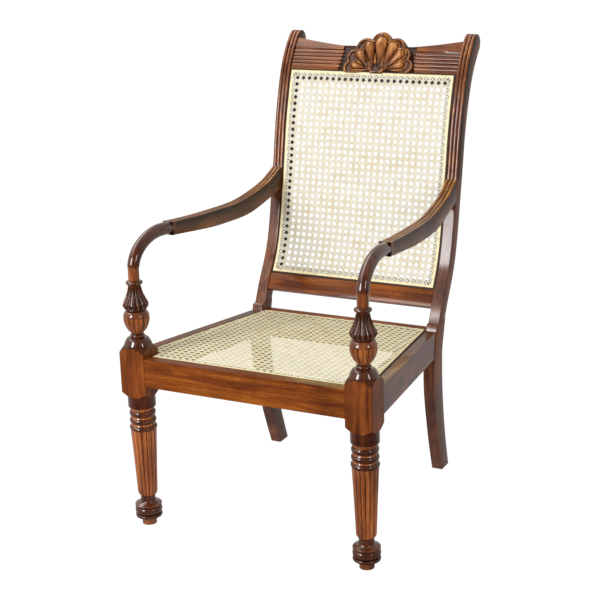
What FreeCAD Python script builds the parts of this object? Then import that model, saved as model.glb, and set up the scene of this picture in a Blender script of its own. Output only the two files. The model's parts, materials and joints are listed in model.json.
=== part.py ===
import FreeCAD, Part
import math
import os
from FreeCAD import Vector

# A planter's armchair: two turned front posts, two sawn rear legs that run up
# into the back, a caned back panel, a loose caned seat and two swept arms.
# While it is built, y is zero on the axes of the front posts and the front
# faces -Y. Everything is moved to its own middle before it is written.

# Stance
post_spread = 540.0
back_spread = 488.0
seat_above_block_foot = 96.5
seat_slope_angle = 3.7

# Front posts
block_side = 61.3
block_foot_height = 308.0
block_height = 118.0
peg_radius = 11.5
peg_flare = 2.1
peg_height = 11.0
dish_radius = 29.0
dish_height = 15.0
foot_waist_radius = 26.0
bun_radius = 30.4
bun_height = 20.0
disc_radius = 29.0
disc_height = 11.0
disc_rim = 2.5
neck_radius = 17.7
neck_height = 14.0
taper_low_radius = 21.9
taper_round_height = 16.0
taper_top_radius = 28.4
cap_ring_radius = 30.1
cap_ring_height = 19.0
ring_radius = 29.0
ring_height = 18.5
ring_neck_radius = 25.5
drum_height = 26.0
drum_groove = 2.5
leg_reed_count = 16
reed_swell_share = 0.32

# Turned arm supports above the blocks
dome_height = 21.0
dome_top_radius = 22.4
dome_swell = 2.6
collar_neck_radius = 14.2
collar_neck_height = 10.0
urn_height = 48.0
urn_radius = 28.3
urn_shares = [(0.0, 0.54), (0.12, 0.62), (0.40, 0.86), (0.68, 1.0), (0.86, 0.98), (1.0, 0.76)]
groove_radius = 20.0
groove_height = 4.0
vase_height = 55.0
vase_radius = 27.9
vase_shares = [(0.0, 0.74), (0.07, 0.86), (0.26, 1.0), (0.50, 0.73), (0.72, 0.58), (1.0, 0.50)]
lobe_count = 16
collar_radius = 18.9
collar_height = 9.0
post_end_radius = 12.0
post_end_height = 12.0
post_tenon_radius = 7.0
post_tenon_length = 22.0

# Rear legs, from the floor to the top of the back
stile_width = 27.0
foot_tuck = 8.0
waist_y = 455.0
waist_drop = 86.0
leg_sweep = 75.0
leg_depth = 56.0
# Rows of sweep, height and depth, from the waist down to the foot
leg_shares = [(0.0, 1.0, 0.98), (0.04, 0.83, 1.0), (0.28, 0.55, 0.92), (0.61, 0.27, 0.84), (1.0, 0.0, 0.77)]
ledge_drop = 18.5
ledge_y = 475.0
ledge_depth = 12.0
stile_rise = 641.0
stile_reach = 236.0
stile_depth = 34.0
# Rows of reach, rise and depth, from the ledge up to the rolled top
stile_shares = [
    (0.0, 0.0, 1.0), (0.093, 0.069, 1.0), (0.267, 0.178, 1.0), (0.373, 0.287, 1.0),
    (0.445, 0.412, 1.0), (0.517, 0.537, 1.0), (0.572, 0.646, 1.0), (0.661, 0.771, 1.05),
    (0.767, 0.880, 1.2), (0.898, 0.958, 1.32), (1.0, 1.0, 1.32),
]
top_roll = 17.0

# Seat rails and their joints
rail_height = 64.0
rail_thickness = 23.5
rail_setback = 1.5
back_rail_thickness = 18.0
back_rail_y = 489.5
tenon_thickness = 10.0
tenon_shoulder = 9.0
rail_tenon_length = 36.0
leg_tenon_length = 20.0

# Back: crest rail, lower rail and their tenons
crest_setback = 4.0
crest_thickness = 22.0
crest_height = 72.0
crest_end_drop = 10.0
crest_dip = 16.0
crest_dip_half_width = 88.0
crest_sag_share = 0.42
lower_rail_rise = 16.5
lower_rail_height = 36.0
lower_rail_setback = 2.0
lower_rail_thickness = 22.0
back_tenon_length = 18.0
back_tenon_thickness = 9.0
back_tenon_shoulder = 7.0

# Shell on the crest, a little right of its middle
shell_x = 11.0
shell_level_rise = 30.0
shell_radius = 96.0
shell_centre_drop = 30.0
shell_pendant_drop = 20.0
shell_thickness = 21.0
shell_bed = 3.0
shell_lobes = 7
shell_valley_share = 0.94

# Caned back panel
panel_gap = 0.6
panel_setback = 2.0
panel_thickness = 18.0
panel_side_width = 20.0
panel_top_width = 28.0
panel_bottom_width = 18.0
panel_tenon_length = 12.0
panel_tenon_thickness = 6.0
panel_tenon_shoulder = 4.0
dowel_radius = 4.0
dowel_length = 28.0
dowel_height_shares = [0.22, 0.78]

# Cane and its binder
cane_pitch = 31.75
cane_strand = 9.0
cane_thickness = 1.2
cane_margin = 4.0
binder_width = 6.5
binder_thickness = 1.0
binder_lift = 0.1

# Loose seat
seat_gap = 1.0
seat_corner_gap = 1.5
seat_rest_gap = 0.3
seat_sink = 1.0
seat_front_half_width = 273.0
seat_back_half_width = 213.5
seat_back_y = 484.5
seat_frame_thickness = 22.0
seat_front_width = 58.8
seat_front_bar_width = 22.0
seat_front_ear_width = 22.0
seat_side_width = 22.0
seat_back_width = 22.0
seat_tenon_length = 16.0
seat_tenon_thickness = 7.0
seat_tenon_shoulder = 6.0

# Corner blocks and their screws
corner_leg = 72.0
corner_thickness = 26.0
screw_radius = 2.2
screw_head_radius = 4.2
screw_head_height = 3.0
screw_length = 45.0
screw_bite = 12.0
screw_from_post = 34.0

# Arms
arm_width = 27.0
arm_stem_radius = 13.0
arm_bend_radius = 64.0
arm_upright = 10.0
arm_fall_angle = 2.3
arm_shoulder_y = 138.0
arm_top_drop = 1.0
arm_front_depth = 29.0
arm_reach = 462.0
arm_lift = 37.0
# Rows of reach and lift along the top and the underside
arm_top_shares = [
    (0.0, 0.0), (0.20, -0.14), (0.42, -0.26), (0.60, -0.27), (0.77, 0.02), (0.91, 0.47), (1.0, 1.0),
]
arm_low_shares = [
    (0.0, 0.0), (0.16, -0.22), (0.35, -0.46), (0.50, -0.54), (0.69, -0.50), (0.84, -0.14), (1.0, 0.32),
]
arm_screw_rise = 11.0
arm_screw_radius = 2.6
arm_screw_head_radius = 4.8
arm_screw_head_height = 4.0
arm_screw_bite = 34.0
arm_plug_radius = 5.0
arm_plug_length = 7.0

# One overrun serves every cut
overrun = 5.0

# Steps of a board that follows the stiles, and halvings of a search along their curve
band_steps = 8
halvings = 60

# Worked out from the sizes above
seat_front_height = block_foot_height + seat_above_block_foot
ledge_height = seat_front_height - ledge_drop
waist_height = ledge_height - waist_drop
stile_top_height = ledge_height + stile_rise
crest_end_height = stile_top_height - crest_end_drop
crest_low_height = crest_end_height - crest_height
lower_rail_low_height = seat_front_height + lower_rail_rise
lower_rail_high_height = lower_rail_low_height + lower_rail_height
post_x = post_spread / 2
half_block = block_side / 2
stile_outer_x = back_spread / 2
stile_inner_x = stile_outer_x - stile_width
rail_face_y = rail_setback - half_block
rail_inner_y = rail_face_y + rail_thickness
rail_foot_height = seat_front_height - rail_height
seat_fall = math.tan(math.radians(seat_slope_angle))
back_rail_top = seat_front_height - seat_fall * (back_rail_y - rail_face_y)
side_rail_front_x = post_x + half_block - rail_setback
post_inner_x = post_x - half_block
leg_slope = (ledge_y - waist_y) / (ledge_height - waist_height)
seat_lean = seat_frame_thickness * math.sin(math.radians(seat_slope_angle))
seat_front_y = rail_inner_y + seat_gap + seat_lean
seat_notch_y = half_block + seat_corner_gap + seat_lean
seat_top = seat_front_height - seat_sink
seat_foot = seat_top - seat_frame_thickness
corner_top = seat_foot - seat_rest_gap
panel_half_width = stile_inner_x - panel_gap
panel_low = lower_rail_high_height + panel_gap
panel_high = crest_low_height - panel_gap
block_top_height = block_foot_height + block_height
vase_top_height = (block_top_height + dome_height + collar_neck_height + urn_height + groove_height
                   + vase_height)
post_joint_height = vase_top_height + collar_height + post_end_height
arm_bend_height = post_joint_height + arm_upright
arm_top_height = arm_bend_height + arm_bend_radius + arm_stem_radius - arm_top_drop
arm_screw_height = arm_top_height + arm_screw_rise


def at(y, z):
    return Vector(0, y, z)


def spline(points):
    curve = Part.BSplineCurve()
    curve.interpolate(points)
    return curve.toShape()


def arc(start, middle, end):
    return Part.Arc(start, middle, end).toShape()


def line(start, end):
    return Part.makeLine(start, end)


def prism(points, direction):
    return Part.Face(Part.makePolygon(points + points[:1])).extrude(direction)


def across(face, low_x, high_x):
    """A face drawn in the YZ plane, made solid from one x to another."""
    moved = face.copy()
    moved.translate(Vector(low_x, 0, 0))
    return moved.extrude(Vector(high_x - low_x, 0, 0))


def rod(radius, length, start, direction):
    return Part.makeCylinder(radius, length, start, direction)


def mirrored(shape):
    return shape.mirror(Vector(0, 0, 0), Vector(1, 0, 0))


def tilted(shape):
    """Turns a piece that was drawn level into the slope of the seat."""
    turned_piece = shape.copy()
    turned_piece.rotate(at(rail_face_y, seat_front_height), Vector(1, 0, 0), -seat_slope_angle)
    return turned_piece


def one_solid(shape):
    solids = shape.Solids
    if len(solids) == 1:
        return solids[0]
    return max(solids, key=lambda solid: solid.Volume)


class Turning:
    """The half outline of a turned stretch, drawn upwards from its foot."""

    def __init__(self, radius, height):
        self.foot = height
        self.radius = radius
        self.height = height
        self.edges = []

    def point(self, radius, height):
        return Vector(radius, 0, height)

    def to(self, radius, rise, swell=0.0):
        start = self.point(self.radius, self.height)
        end = self.point(radius, self.height + rise)
        if swell:
            middle = (start + end) * 0.5 + Vector(swell, 0, 0)
            self.edges.append(arc(start, middle, end))
        elif (end - start).Length > 0:
            self.edges.append(line(start, end))
        self.radius = radius
        self.height += rise
        return self

    def solid(self, axis_x):
        first = self.point(0, self.foot)
        last = self.point(0, self.height)
        start = self.edges[0].Vertexes[0].Point
        rim = self.point(self.radius, self.height)
        edges = [line(first, start)] + self.edges + [line(rim, last), line(last, first)]
        face = Part.Face(Part.Wire(edges))
        body = face.revolve(Vector(0, 0, 0), Vector(0, 0, 1), 360)
        body.translate(Vector(axis_x, 0, 0))
        return body


def reeded_ring(radius, height, count, swell_share):
    """A closed wire of convex reeds round an upright axis."""
    edges = []
    root = radius * (1 - swell_share * math.pi / count)
    for reed in range(count):
        start = 2 * math.pi * reed / count
        middle = start + math.pi / count
        end = start + 2 * math.pi / count
        corners = [Vector(root * math.cos(a), root * math.sin(a), height) for a in (start, end)]
        crown = Vector(radius * math.cos(middle), radius * math.sin(middle), height)
        edges.append(arc(corners[0], crown, corners[1]))
    return Part.Wire(edges)


def reeded(rows, count, axis_x):
    """Reeds that run up through rows of radius and height."""
    rings = [reeded_ring(radius, height, count, reed_swell_share) for radius, height in rows]
    body = Part.makeLoft(rings, True, True)
    body.translate(Vector(axis_x, 0, 0))
    return body


def lower_turning():
    foot = Turning(peg_radius, 0)
    foot.to(peg_radius + peg_flare, peg_height)
    foot.to(dish_radius, dish_height / 2, disc_rim)
    foot.to(foot_waist_radius, dish_height / 2, disc_rim)
    foot.to(foot_waist_radius, bun_height, bun_radius - foot_waist_radius)
    foot.to(disc_radius, disc_height / 2, disc_rim)
    foot.to(foot_waist_radius, disc_height / 2, disc_rim)
    foot.to(neck_radius, neck_height, -disc_rim)
    return foot


def ring_stack(start_height):
    rings = Turning(taper_top_radius, start_height)
    rings.to(cap_ring_radius, 0)
    rings.to(cap_ring_radius, cap_ring_height / 2)
    rings.to(ring_neck_radius, cap_ring_height / 2, disc_rim)
    rings.to(ring_neck_radius, ring_height, ring_radius - ring_neck_radius)
    rings.to(ring_neck_radius, ring_height, ring_radius - ring_neck_radius)
    rings.to(half_block - drum_groove, drum_groove)
    rings.to(half_block, drum_groove)
    rings.to(half_block, block_foot_height - rings.height)
    return rings


def upper_turning():
    dome = Turning(half_block, block_top_height)
    dome.to(dome_top_radius, dome_height, dome_swell)
    dome.to(collar_neck_radius, 0)
    dome.to(collar_neck_radius, collar_neck_height)
    return dome


def squared_block():
    """The square of the post, its corners turned away at top and bottom."""
    corner = half_block * math.sqrt(2)
    reach = corner - half_block
    lathe = Turning(half_block, block_foot_height)
    lathe.to(corner + overrun, reach + overrun)
    lathe.to(corner + overrun, block_height - 2 * (reach + overrun))
    lathe.to(half_block, reach + overrun)
    square = Part.makeBox(block_side, block_side, block_height,
                          Vector(-half_block, -half_block, block_foot_height))
    body = square.common(lathe.solid(0))
    body.translate(Vector(post_x, 0, 0))
    return body


def stacked_rows(shares, radius, foot, height):
    return [(radius * wide, foot + height * high) for high, wide in shares]


def front_post():
    foot = lower_turning()
    stack_height = cap_ring_height + 2 * ring_height + drum_height
    taper_top = block_foot_height - stack_height
    taper_foot = foot.height
    rows = [(foot.radius, taper_foot), (taper_low_radius, taper_foot + taper_round_height),
            (taper_top_radius, taper_top)]
    rings = ring_stack(taper_top)
    dome = upper_turning()
    urn_foot = dome.height
    vase_foot = urn_foot + urn_height + groove_height
    groove = rod(groove_radius, groove_height, Vector(post_x, 0, urn_foot + urn_height), Vector(0, 0, 1))
    collar_edge = vase_radius * vase_shares[-1][1]
    collar = Turning(collar_edge, vase_top_height)
    collar.to(collar_edge, collar_height, collar_radius - collar_edge)
    collar.to(post_end_radius, 0)
    collar.to(post_end_radius, post_end_height)
    tenon = rod(post_tenon_radius, post_tenon_length, Vector(post_x, 0, post_joint_height), Vector(0, 0, 1))
    pieces = [
        reeded(rows, leg_reed_count, post_x),
        rings.solid(post_x),
        squared_block(),
        dome.solid(post_x),
        reeded(stacked_rows(urn_shares, urn_radius, urn_foot, urn_height), lobe_count, post_x),
        groove,
        reeded(stacked_rows(vase_shares, vase_radius, vase_foot, vase_height), lobe_count, post_x),
        collar.solid(post_x),
        tenon,
    ]
    return foot.solid(post_x).multiFuse(pieces)


def leg_points():
    """Front and back points of the sabre leg, from the waist to the floor."""
    front = []
    back = []
    for sweep, high, deep in leg_shares:
        y = waist_y + leg_sweep * sweep
        z = waist_height * high
        front.append(at(y, z))
        back.append(at(y + leg_depth * deep, z))
    return front, back


def stile_point(row):
    reach, rise, deep = row
    return at(ledge_y + ledge_depth + stile_reach * reach, ledge_height + stile_rise * rise)


stile_front = Part.BSplineCurve()
stile_front.interpolate([stile_point(row) for row in stile_shares])


def front_at(height):
    """The point of the stile's front at a height, and the way that faces backwards there."""
    low = stile_front.FirstParameter
    high = stile_front.LastParameter
    for step in range(halvings):
        middle = (low + high) / 2
        if stile_front.value(middle).z < height:
            low = middle
        else:
            high = middle
    point = stile_front.value(low)
    along = stile_front.tangent(low)[0]
    return point, Vector(0, along.z, -along.y)


def behind(height, depth):
    point, backwards = front_at(height)
    return point + backwards * depth


def stile_back_points():
    points = []
    for row in stile_shares[1:]:
        point = stile_point(row)
        backwards = front_at(point.z)[1]
        points.append(point + backwards * (stile_depth * row[2]))
    return points


def leg_side():
    """The side view of a rear leg and its stile, one closed face."""
    leg_front, leg_back = leg_points()
    back = stile_back_points()
    step_front = at(ledge_y, ledge_height)
    step_back = at(ledge_y + ledge_depth, ledge_height)
    tip_front = stile_point(stile_shares[-1])
    tip_back = back[-1]
    crown = (tip_front + tip_back) * 0.5
    roll = (tip_back - tip_front).cross(Vector(-1, 0, 0))
    roll.normalize()
    edges = [
        spline(list(reversed(leg_front))),
        line(leg_front[0], step_front),
        line(step_front, step_back),
        stile_front.toShape(),
        arc(tip_front, crown + roll * top_roll, tip_back),
        spline(list(reversed(back)) + leg_back),
        line(leg_back[-1], leg_front[-1]),
    ]
    return Part.Face(Part.Wire(edges))


leg_face = leg_side()


def rear_leg():
    board = across(leg_face, stile_inner_x - foot_tuck, stile_outer_x)
    top = board.BoundBox.ZMax + overrun
    front_view = [
        Vector(stile_inner_x - foot_tuck, 0, 0),
        Vector(stile_outer_x - foot_tuck, 0, 0),
        Vector(stile_outer_x, 0, waist_height),
        Vector(stile_outer_x, 0, top),
        Vector(stile_inner_x, 0, top),
        Vector(stile_inner_x, 0, waist_height),
    ]
    return board.common(prism(front_view, Vector(0, board.BoundBox.YMax + overrun, 0)))


def side_rail_x(y):
    """The outer face of the side rail, as it runs in towards the back."""
    fall = (side_rail_front_x - stile_outer_x) / (waist_y - half_block)
    return side_rail_front_x - fall * (y - half_block)


def side_bar(outer_inset, inner_inset, low_y, high_y, shoulder):
    """A bar along the side rail, sloped with the seat."""
    foot = rail_foot_height + shoulder
    points = [
        Vector(side_rail_x(low_y) - outer_inset, low_y, foot),
        Vector(side_rail_x(high_y) - outer_inset, high_y, foot),
        Vector(side_rail_x(high_y) - inner_inset, high_y, foot),
        Vector(side_rail_x(low_y) - inner_inset, low_y, foot),
    ]
    return tilted(prism(points, Vector(0, 0, rail_height - 2 * shoulder)))


def side_rail(post, leg):
    bar = side_bar(0, rail_thickness, 0, waist_y + leg_depth / 2, 0)
    return one_solid(bar.cut(post).cut(leg))


def side_tenon():
    inset = (rail_thickness - tenon_thickness) / 2
    end_y = ledge_y + leg_tenon_length / 2
    return side_bar(inset, rail_thickness - inset, half_block - rail_tenon_length, end_y, tenon_shoulder)


def front_rail():
    length = 2 * post_inner_x
    corner = Vector(-post_inner_x, rail_face_y, rail_foot_height)
    return Part.makeBox(length, rail_thickness, rail_height, corner)


def front_tenon():
    reach = post_inner_x + rail_tenon_length
    inset = (rail_thickness - tenon_thickness) / 2
    corner = Vector(-reach, rail_face_y + inset, rail_foot_height + tenon_shoulder)
    return Part.makeBox(2 * reach, tenon_thickness, rail_height - 2 * tenon_shoulder, corner)


def raked_bar(inset, shoulder, half_length):
    """A level bar between the rear legs that leans as they do."""
    top = back_rail_top - shoulder
    foot = back_rail_top - rail_height + shoulder
    points = []
    for y, z in [(inset, top), (back_rail_thickness - inset, top),
                 (back_rail_thickness - inset, foot), (inset, foot)]:
        points.append(Vector(-half_length, back_rail_y + y - leg_slope * (back_rail_top - z), z))
    return prism(points, Vector(2 * half_length, 0, 0))


def back_rail():
    return raked_bar(0, 0, stile_inner_x)


def back_rail_tenon():
    inset = (back_rail_thickness - tenon_thickness) / 2
    return raked_bar(inset, tenon_shoulder, stile_inner_x + leg_tenon_length)


def band(low, high, setback, thickness, low_x, high_x):
    """A board that follows the curve of the stiles between two heights."""
    heights = [low + (high - low) * step / band_steps for step in range(band_steps + 1)]
    front = [behind(height, setback) for height in heights]
    back = [behind(height, setback + thickness) for height in heights]
    edges = [
        spline(front),
        line(front[-1], back[-1]),
        spline(list(reversed(back))),
        line(back[0], front[0]),
    ]
    return across(Part.Face(Part.Wire(edges)), low_x, high_x)


def crest_rail():
    dip = crest_end_height - crest_dip
    reach = stile_inner_x
    blank = band(crest_low_height, stile_top_height, crest_setback, crest_thickness, -reach, reach)
    middle_x = (reach + crest_dip_half_width) / 2
    middle = dip + crest_dip * crest_sag_share
    right = arc(Vector(crest_dip_half_width, 0, dip), Vector(middle_x, 0, middle),
                Vector(reach, 0, crest_end_height))
    left = arc(Vector(-reach, 0, crest_end_height), Vector(-middle_x, 0, middle),
               Vector(-crest_dip_half_width, 0, dip))
    low = crest_low_height - crest_thickness
    edges = [
        left,
        line(Vector(-crest_dip_half_width, 0, dip), Vector(crest_dip_half_width, 0, dip)),
        right,
        line(Vector(reach, 0, crest_end_height), Vector(reach, 0, low)),
        line(Vector(reach, 0, low), Vector(-reach, 0, low)),
        line(Vector(-reach, 0, low), Vector(-reach, 0, crest_end_height)),
    ]
    view = Part.Face(Part.Wire(edges)).extrude(Vector(0, blank.BoundBox.YMax + overrun, 0))
    return one_solid(blank.common(view))


def back_tenon(low, high, setback, thickness):
    reach = stile_inner_x + back_tenon_length
    inset = (thickness - back_tenon_thickness) / 2
    return band(low + back_tenon_shoulder, high - back_tenon_shoulder, setback + inset,
                back_tenon_thickness, -reach, reach)


def crest_shell():
    """A scalloped plate with a round head of lobes and a small pendant."""
    valley = shell_radius * shell_valley_share
    centre = Vector(0, 0, -shell_centre_drop)
    step = math.pi / shell_lobes

    def rim(radius, angle):
        return centre + Vector(radius * math.cos(angle), 0, radius * math.sin(angle))

    edges = []
    for lobe in range(shell_lobes):
        start = lobe * step
        edges.append(arc(rim(valley, start), rim(shell_radius, start + step / 2), rim(valley, start + step)))
    pendant = centre - Vector(0, 0, shell_pendant_drop)
    edges.append(line(rim(valley, math.pi), pendant))
    edges.append(line(pendant, rim(valley, 0)))
    plate = Part.Face(Part.Wire(edges)).extrude(Vector(0, -shell_thickness, 0))
    point, backwards = front_at(crest_low_height + shell_level_rise)
    lean = math.degrees(math.atan2(-backwards.z, backwards.y))
    plate.rotate(Vector(0, 0, 0), Vector(1, 0, 0), -lean)
    plate.translate(point + backwards * (crest_setback + shell_bed) + Vector(shell_x, 0, 0))
    front = panel_setback - cane_thickness - 2 * binder_lift - binder_thickness
    panel = panel_layer(front, panel_thickness, panel_low, panel_high,
                        shell_x - shell_radius, shell_x + shell_radius)
    return plate.cut(panel)


def panel_layer(setback, thickness, low, high, low_x, high_x):
    """One layer of the curved panel, cut square to its curve between two heights."""
    whole = band(panel_low, panel_high, setback, thickness, low_x, high_x)
    room = panel_thickness * 2
    slice_points = [behind(low, -room), behind(low, room), behind(high, room), behind(high, -room)]
    start = Vector(low_x, 0, 0)
    return whole.common(prism([point + start for point in slice_points], Vector(high_x - low_x, 0, 0)))


def panel_board(low, high, low_x, high_x):
    return panel_layer(panel_setback, panel_thickness, low, high, low_x, high_x)


def panel_tenon(low, high):
    reach = panel_half_width - panel_side_width + panel_tenon_length
    inset = (panel_thickness - panel_tenon_thickness) / 2
    return panel_layer(panel_setback + inset, panel_tenon_thickness,
                       low + panel_tenon_shoulder, high - panel_tenon_shoulder, -reach, reach)


def panel_dowels():
    pegs = []
    for share in dowel_height_shares:
        height = panel_low + (panel_high - panel_low) * share
        centre = behind(height, panel_setback + panel_thickness / 2)
        start = centre + Vector(stile_inner_x - dowel_length / 2, 0, 0)
        peg = rod(dowel_radius, dowel_length, start, Vector(1, 0, 0))
        pegs.append(peg)
        pegs.append(mirrored(peg))
    return pegs


def gap_boxes(low_y, high_y, half_width_at, foot, height):
    """Rows of square gaps, as many in each row as its width lets in."""
    side = cane_pitch - cane_strand
    rows = int((high_y - low_y) / cane_pitch)
    first = (low_y + high_y - rows * cane_pitch) / 2 + cane_strand / 2
    boxes = []
    for row in range(rows):
        y = first + row * cane_pitch
        room = min(half_width_at(y), half_width_at(y + side))
        columns = int(2 * room / cane_pitch)
        left = (cane_strand - columns * cane_pitch) / 2
        for column in range(columns):
            corner = Vector(left + column * cane_pitch, y, foot)
            boxes.append(Part.makeBox(side, side, height, corner))
    return boxes


def back_cane():
    inset = panel_half_width - cane_margin
    sheet = panel_layer(panel_setback - cane_thickness, cane_thickness,
                        panel_low + cane_margin, panel_high - cane_margin, -inset, inset)
    opening = panel_half_width - panel_side_width
    low = panel_low + panel_bottom_width
    high = panel_high - panel_top_width
    depth = sheet.BoundBox.YMax + overrun
    boxes = gap_boxes(low, high, lambda y: opening, -depth, depth)
    holes = Part.makeCompound(boxes)
    holes.rotate(Vector(0, 0, 0), Vector(1, 0, 0), 90)
    return sheet.cut(holes)


def back_binder():
    outer = panel_half_width - cane_margin
    inner = outer - binder_width
    low = panel_low + cane_margin
    high = panel_high - cane_margin
    front = panel_setback - cane_thickness - binder_lift - binder_thickness
    ring = panel_layer(front, binder_thickness, low, high, -outer, outer)
    middle = panel_layer(front - overrun, binder_thickness + 2 * overrun,
                         low + binder_width, high - binder_width, -inner, inner)
    return ring.cut(middle)


def seat_side_x(y):
    fall = (seat_front_half_width - seat_back_half_width) / (seat_back_y - seat_notch_y)
    return seat_front_half_width - fall * (y - seat_notch_y)


def seat_outline(inset, height):
    """The plan of the seat, notched at the front round the posts."""
    notch_x = post_inner_x - seat_corner_gap - inset
    notch_y = seat_notch_y + inset
    back = seat_back_y - inset
    half = [
        (notch_x, seat_front_y + inset),
        (notch_x, notch_y),
        (seat_side_x(notch_y) - inset, notch_y),
        (seat_side_x(back) - inset, back),
    ]
    right = [Vector(x, y, height) for x, y in half]
    left = [Vector(-x, y, height) for x, y in reversed(half)]
    return right + left


def slab(inset, height, thickness):
    return prism(seat_outline(inset, height), Vector(0, 0, thickness))


def seat_band(shape, low_y, high_y):
    """The share of a level seat piece between two depths."""
    box = shape.BoundBox
    corner = Vector(box.XMin - overrun, low_y, box.ZMin - overrun)
    slice_box = Part.makeBox(box.XLength + 2 * overrun, high_y - low_y, box.ZLength + 2 * overrun, corner)
    return shape.common(slice_box)


def seat_side_bar(outer, inner, low_y, high_y, foot, thickness):
    points = [
        Vector(seat_side_x(low_y) - outer, low_y, foot),
        Vector(seat_side_x(high_y) - outer, high_y, foot),
        Vector(seat_side_x(high_y) - inner, high_y, foot),
        Vector(seat_side_x(low_y) - inner, low_y, foot),
    ]
    return prism(points, Vector(0, 0, thickness))


def loose_seat():
    """The four frame pieces, the cane and its binder, still level."""
    blank = slab(0, seat_foot, seat_frame_thickness)
    inner_front = seat_front_y + seat_front_width
    inner_back = seat_back_y - seat_back_width
    bar_inner = seat_front_y + seat_front_bar_width
    open_half = post_inner_x - seat_corner_gap - seat_front_ear_width
    corner = Vector(-open_half, bar_inner, seat_foot - overrun)
    sawn_out = Part.makeBox(2 * open_half, inner_front - bar_inner + overrun,
                            seat_frame_thickness + 2 * overrun, corner)
    front = seat_band(blank, seat_front_y - overrun, inner_front).cut(sawn_out)
    back = seat_band(blank, inner_back, seat_back_y + overrun)
    side = seat_side_bar(0, seat_side_width, inner_front, inner_back, seat_foot, seat_frame_thickness)
    tenon_foot = seat_foot + (seat_frame_thickness - seat_tenon_thickness) / 2
    tenon = seat_side_bar(seat_tenon_shoulder, seat_side_width - seat_tenon_shoulder,
                          inner_front - seat_tenon_length, inner_back + seat_tenon_length,
                          tenon_foot, seat_tenon_thickness)
    tenons = Part.makeCompound([tenon, mirrored(tenon)])
    side = side.fuse(tenon).removeSplitter()
    cane = slab(cane_margin, seat_top, cane_thickness)

    def open_half_width(y):
        return open_half if y < inner_front else seat_side_x(y) - seat_side_width

    holes = gap_boxes(bar_inner, inner_back, open_half_width, seat_top - overrun, 2 * overrun)
    cane = cane.cut(Part.makeCompound(holes))
    binder_foot = seat_top + cane_thickness + binder_lift
    ring = slab(cane_margin, binder_foot, binder_thickness)
    middle = slab(cane_margin + binder_width, binder_foot - overrun, binder_thickness + 2 * overrun)
    binder = ring.cut(middle)
    return {
        "seat_frame_front": front.cut(tenons),
        "seat_frame_back": back.cut(tenons),
        "seat_frame_right": side,
        "seat_frame_left": mirrored(side),
        "seat_cane": cane,
        "seat_cane_binder": binder,
    }


def corner_block(points, solids):
    blank = tilted(prism([Vector(x, y, corner_top - corner_thickness) for x, y in points],
                         Vector(0, 0, corner_thickness)))
    for solid in solids:
        blank = blank.cut(solid)
    return one_solid(blank)


def block_screw(tip, direction):
    """A level screw whose tip and bite are given, and the hole for its head."""
    height = corner_top - corner_thickness / 2
    start = Vector(tip[0], tip[1], height)
    seat_point = start - direction * screw_length
    shank = rod(screw_radius, screw_length, seat_point, direction)
    head = rod(screw_head_radius, screw_head_height, seat_point, direction * -1)
    way = rod(screw_head_radius, corner_leg, seat_point, direction * -1)
    return tilted(shank.fuse(head)), tilted(way)


def front_corner(solids):
    inner_x = side_rail_x(half_block) - rail_thickness
    points = [
        (post_inner_x - corner_leg, rail_inner_y - overrun),
        (post_inner_x + overrun, rail_inner_y - overrun),
        (post_inner_x + overrun, half_block - overrun),
        (inner_x + overrun, half_block - overrun),
        (inner_x + overrun, half_block + corner_leg),
    ]
    block = corner_block(points, solids)
    first = block_screw((post_inner_x - screw_from_post, rail_inner_y - screw_bite), Vector(0, -1, 0))
    side_y = half_block + screw_from_post
    side_x = side_rail_x(side_y) - rail_thickness
    second = block_screw((side_x + screw_bite, side_y), Vector(1, 0, 0))
    return block, [first, second]


def back_corner(solids):
    rail_y = back_rail_y - leg_slope * corner_thickness
    side_y = ledge_y - screw_from_post
    side_x = side_rail_x(side_y) - rail_thickness
    points = [
        (stile_inner_x - corner_leg, back_rail_y + overrun),
        (stile_inner_x + overrun, back_rail_y + overrun),
        (stile_inner_x + overrun, ledge_y - corner_leg),
    ]
    block = corner_block(points, solids)
    first = block_screw((stile_inner_x - screw_from_post, rail_y + screw_bite), Vector(0, 1, 0))
    second = block_screw((side_x + screw_bite, side_y), Vector(1, 0, 0))
    return block, [first, second]


def arm_board():
    top = [at(arm_shoulder_y + arm_reach * reach, arm_top_height + arm_lift * lift)
           for reach, lift in arm_top_shares]
    low = [at(arm_shoulder_y + arm_reach * reach, arm_top_height - arm_front_depth + arm_lift * lift)
           for reach, lift in arm_low_shares]
    beyond = Vector(0, stile_depth / 2, 0)
    edges = [
        spline(top),
        line(top[-1], top[-1] + beyond),
        line(top[-1] + beyond, low[-1] + beyond),
        line(low[-1] + beyond, low[-1]),
        spline(list(reversed(low))),
        line(low[0], top[0]),
    ]
    return across(Part.Face(Part.Wire(edges)), -arm_width / 2, arm_width / 2)


def arm_stem():
    """The round stem: upright on the post, bent back and run into the board."""
    upright = rod(arm_stem_radius, arm_bend_height - post_joint_height,
                  at(0, post_joint_height), Vector(0, 0, 1))
    foot = Part.Face(Part.Wire(Part.makeCircle(arm_stem_radius, at(0, arm_bend_height), Vector(0, 0, 1))))
    turn = 90 + arm_fall_angle
    bend = foot.revolve(at(arm_bend_radius, arm_bend_height), Vector(1, 0, 0), -turn)
    fall = math.radians(arm_fall_angle)
    end_y = arm_bend_radius * (1 + math.sin(fall))
    end = at(end_y, arm_bend_height + arm_bend_radius * math.cos(fall))
    along = at(math.cos(fall), -math.sin(fall))
    run = rod(arm_stem_radius, (arm_shoulder_y + arm_stem_radius - end_y) / math.cos(fall), end, along)
    return upright.multiFuse([bend, run])


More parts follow.
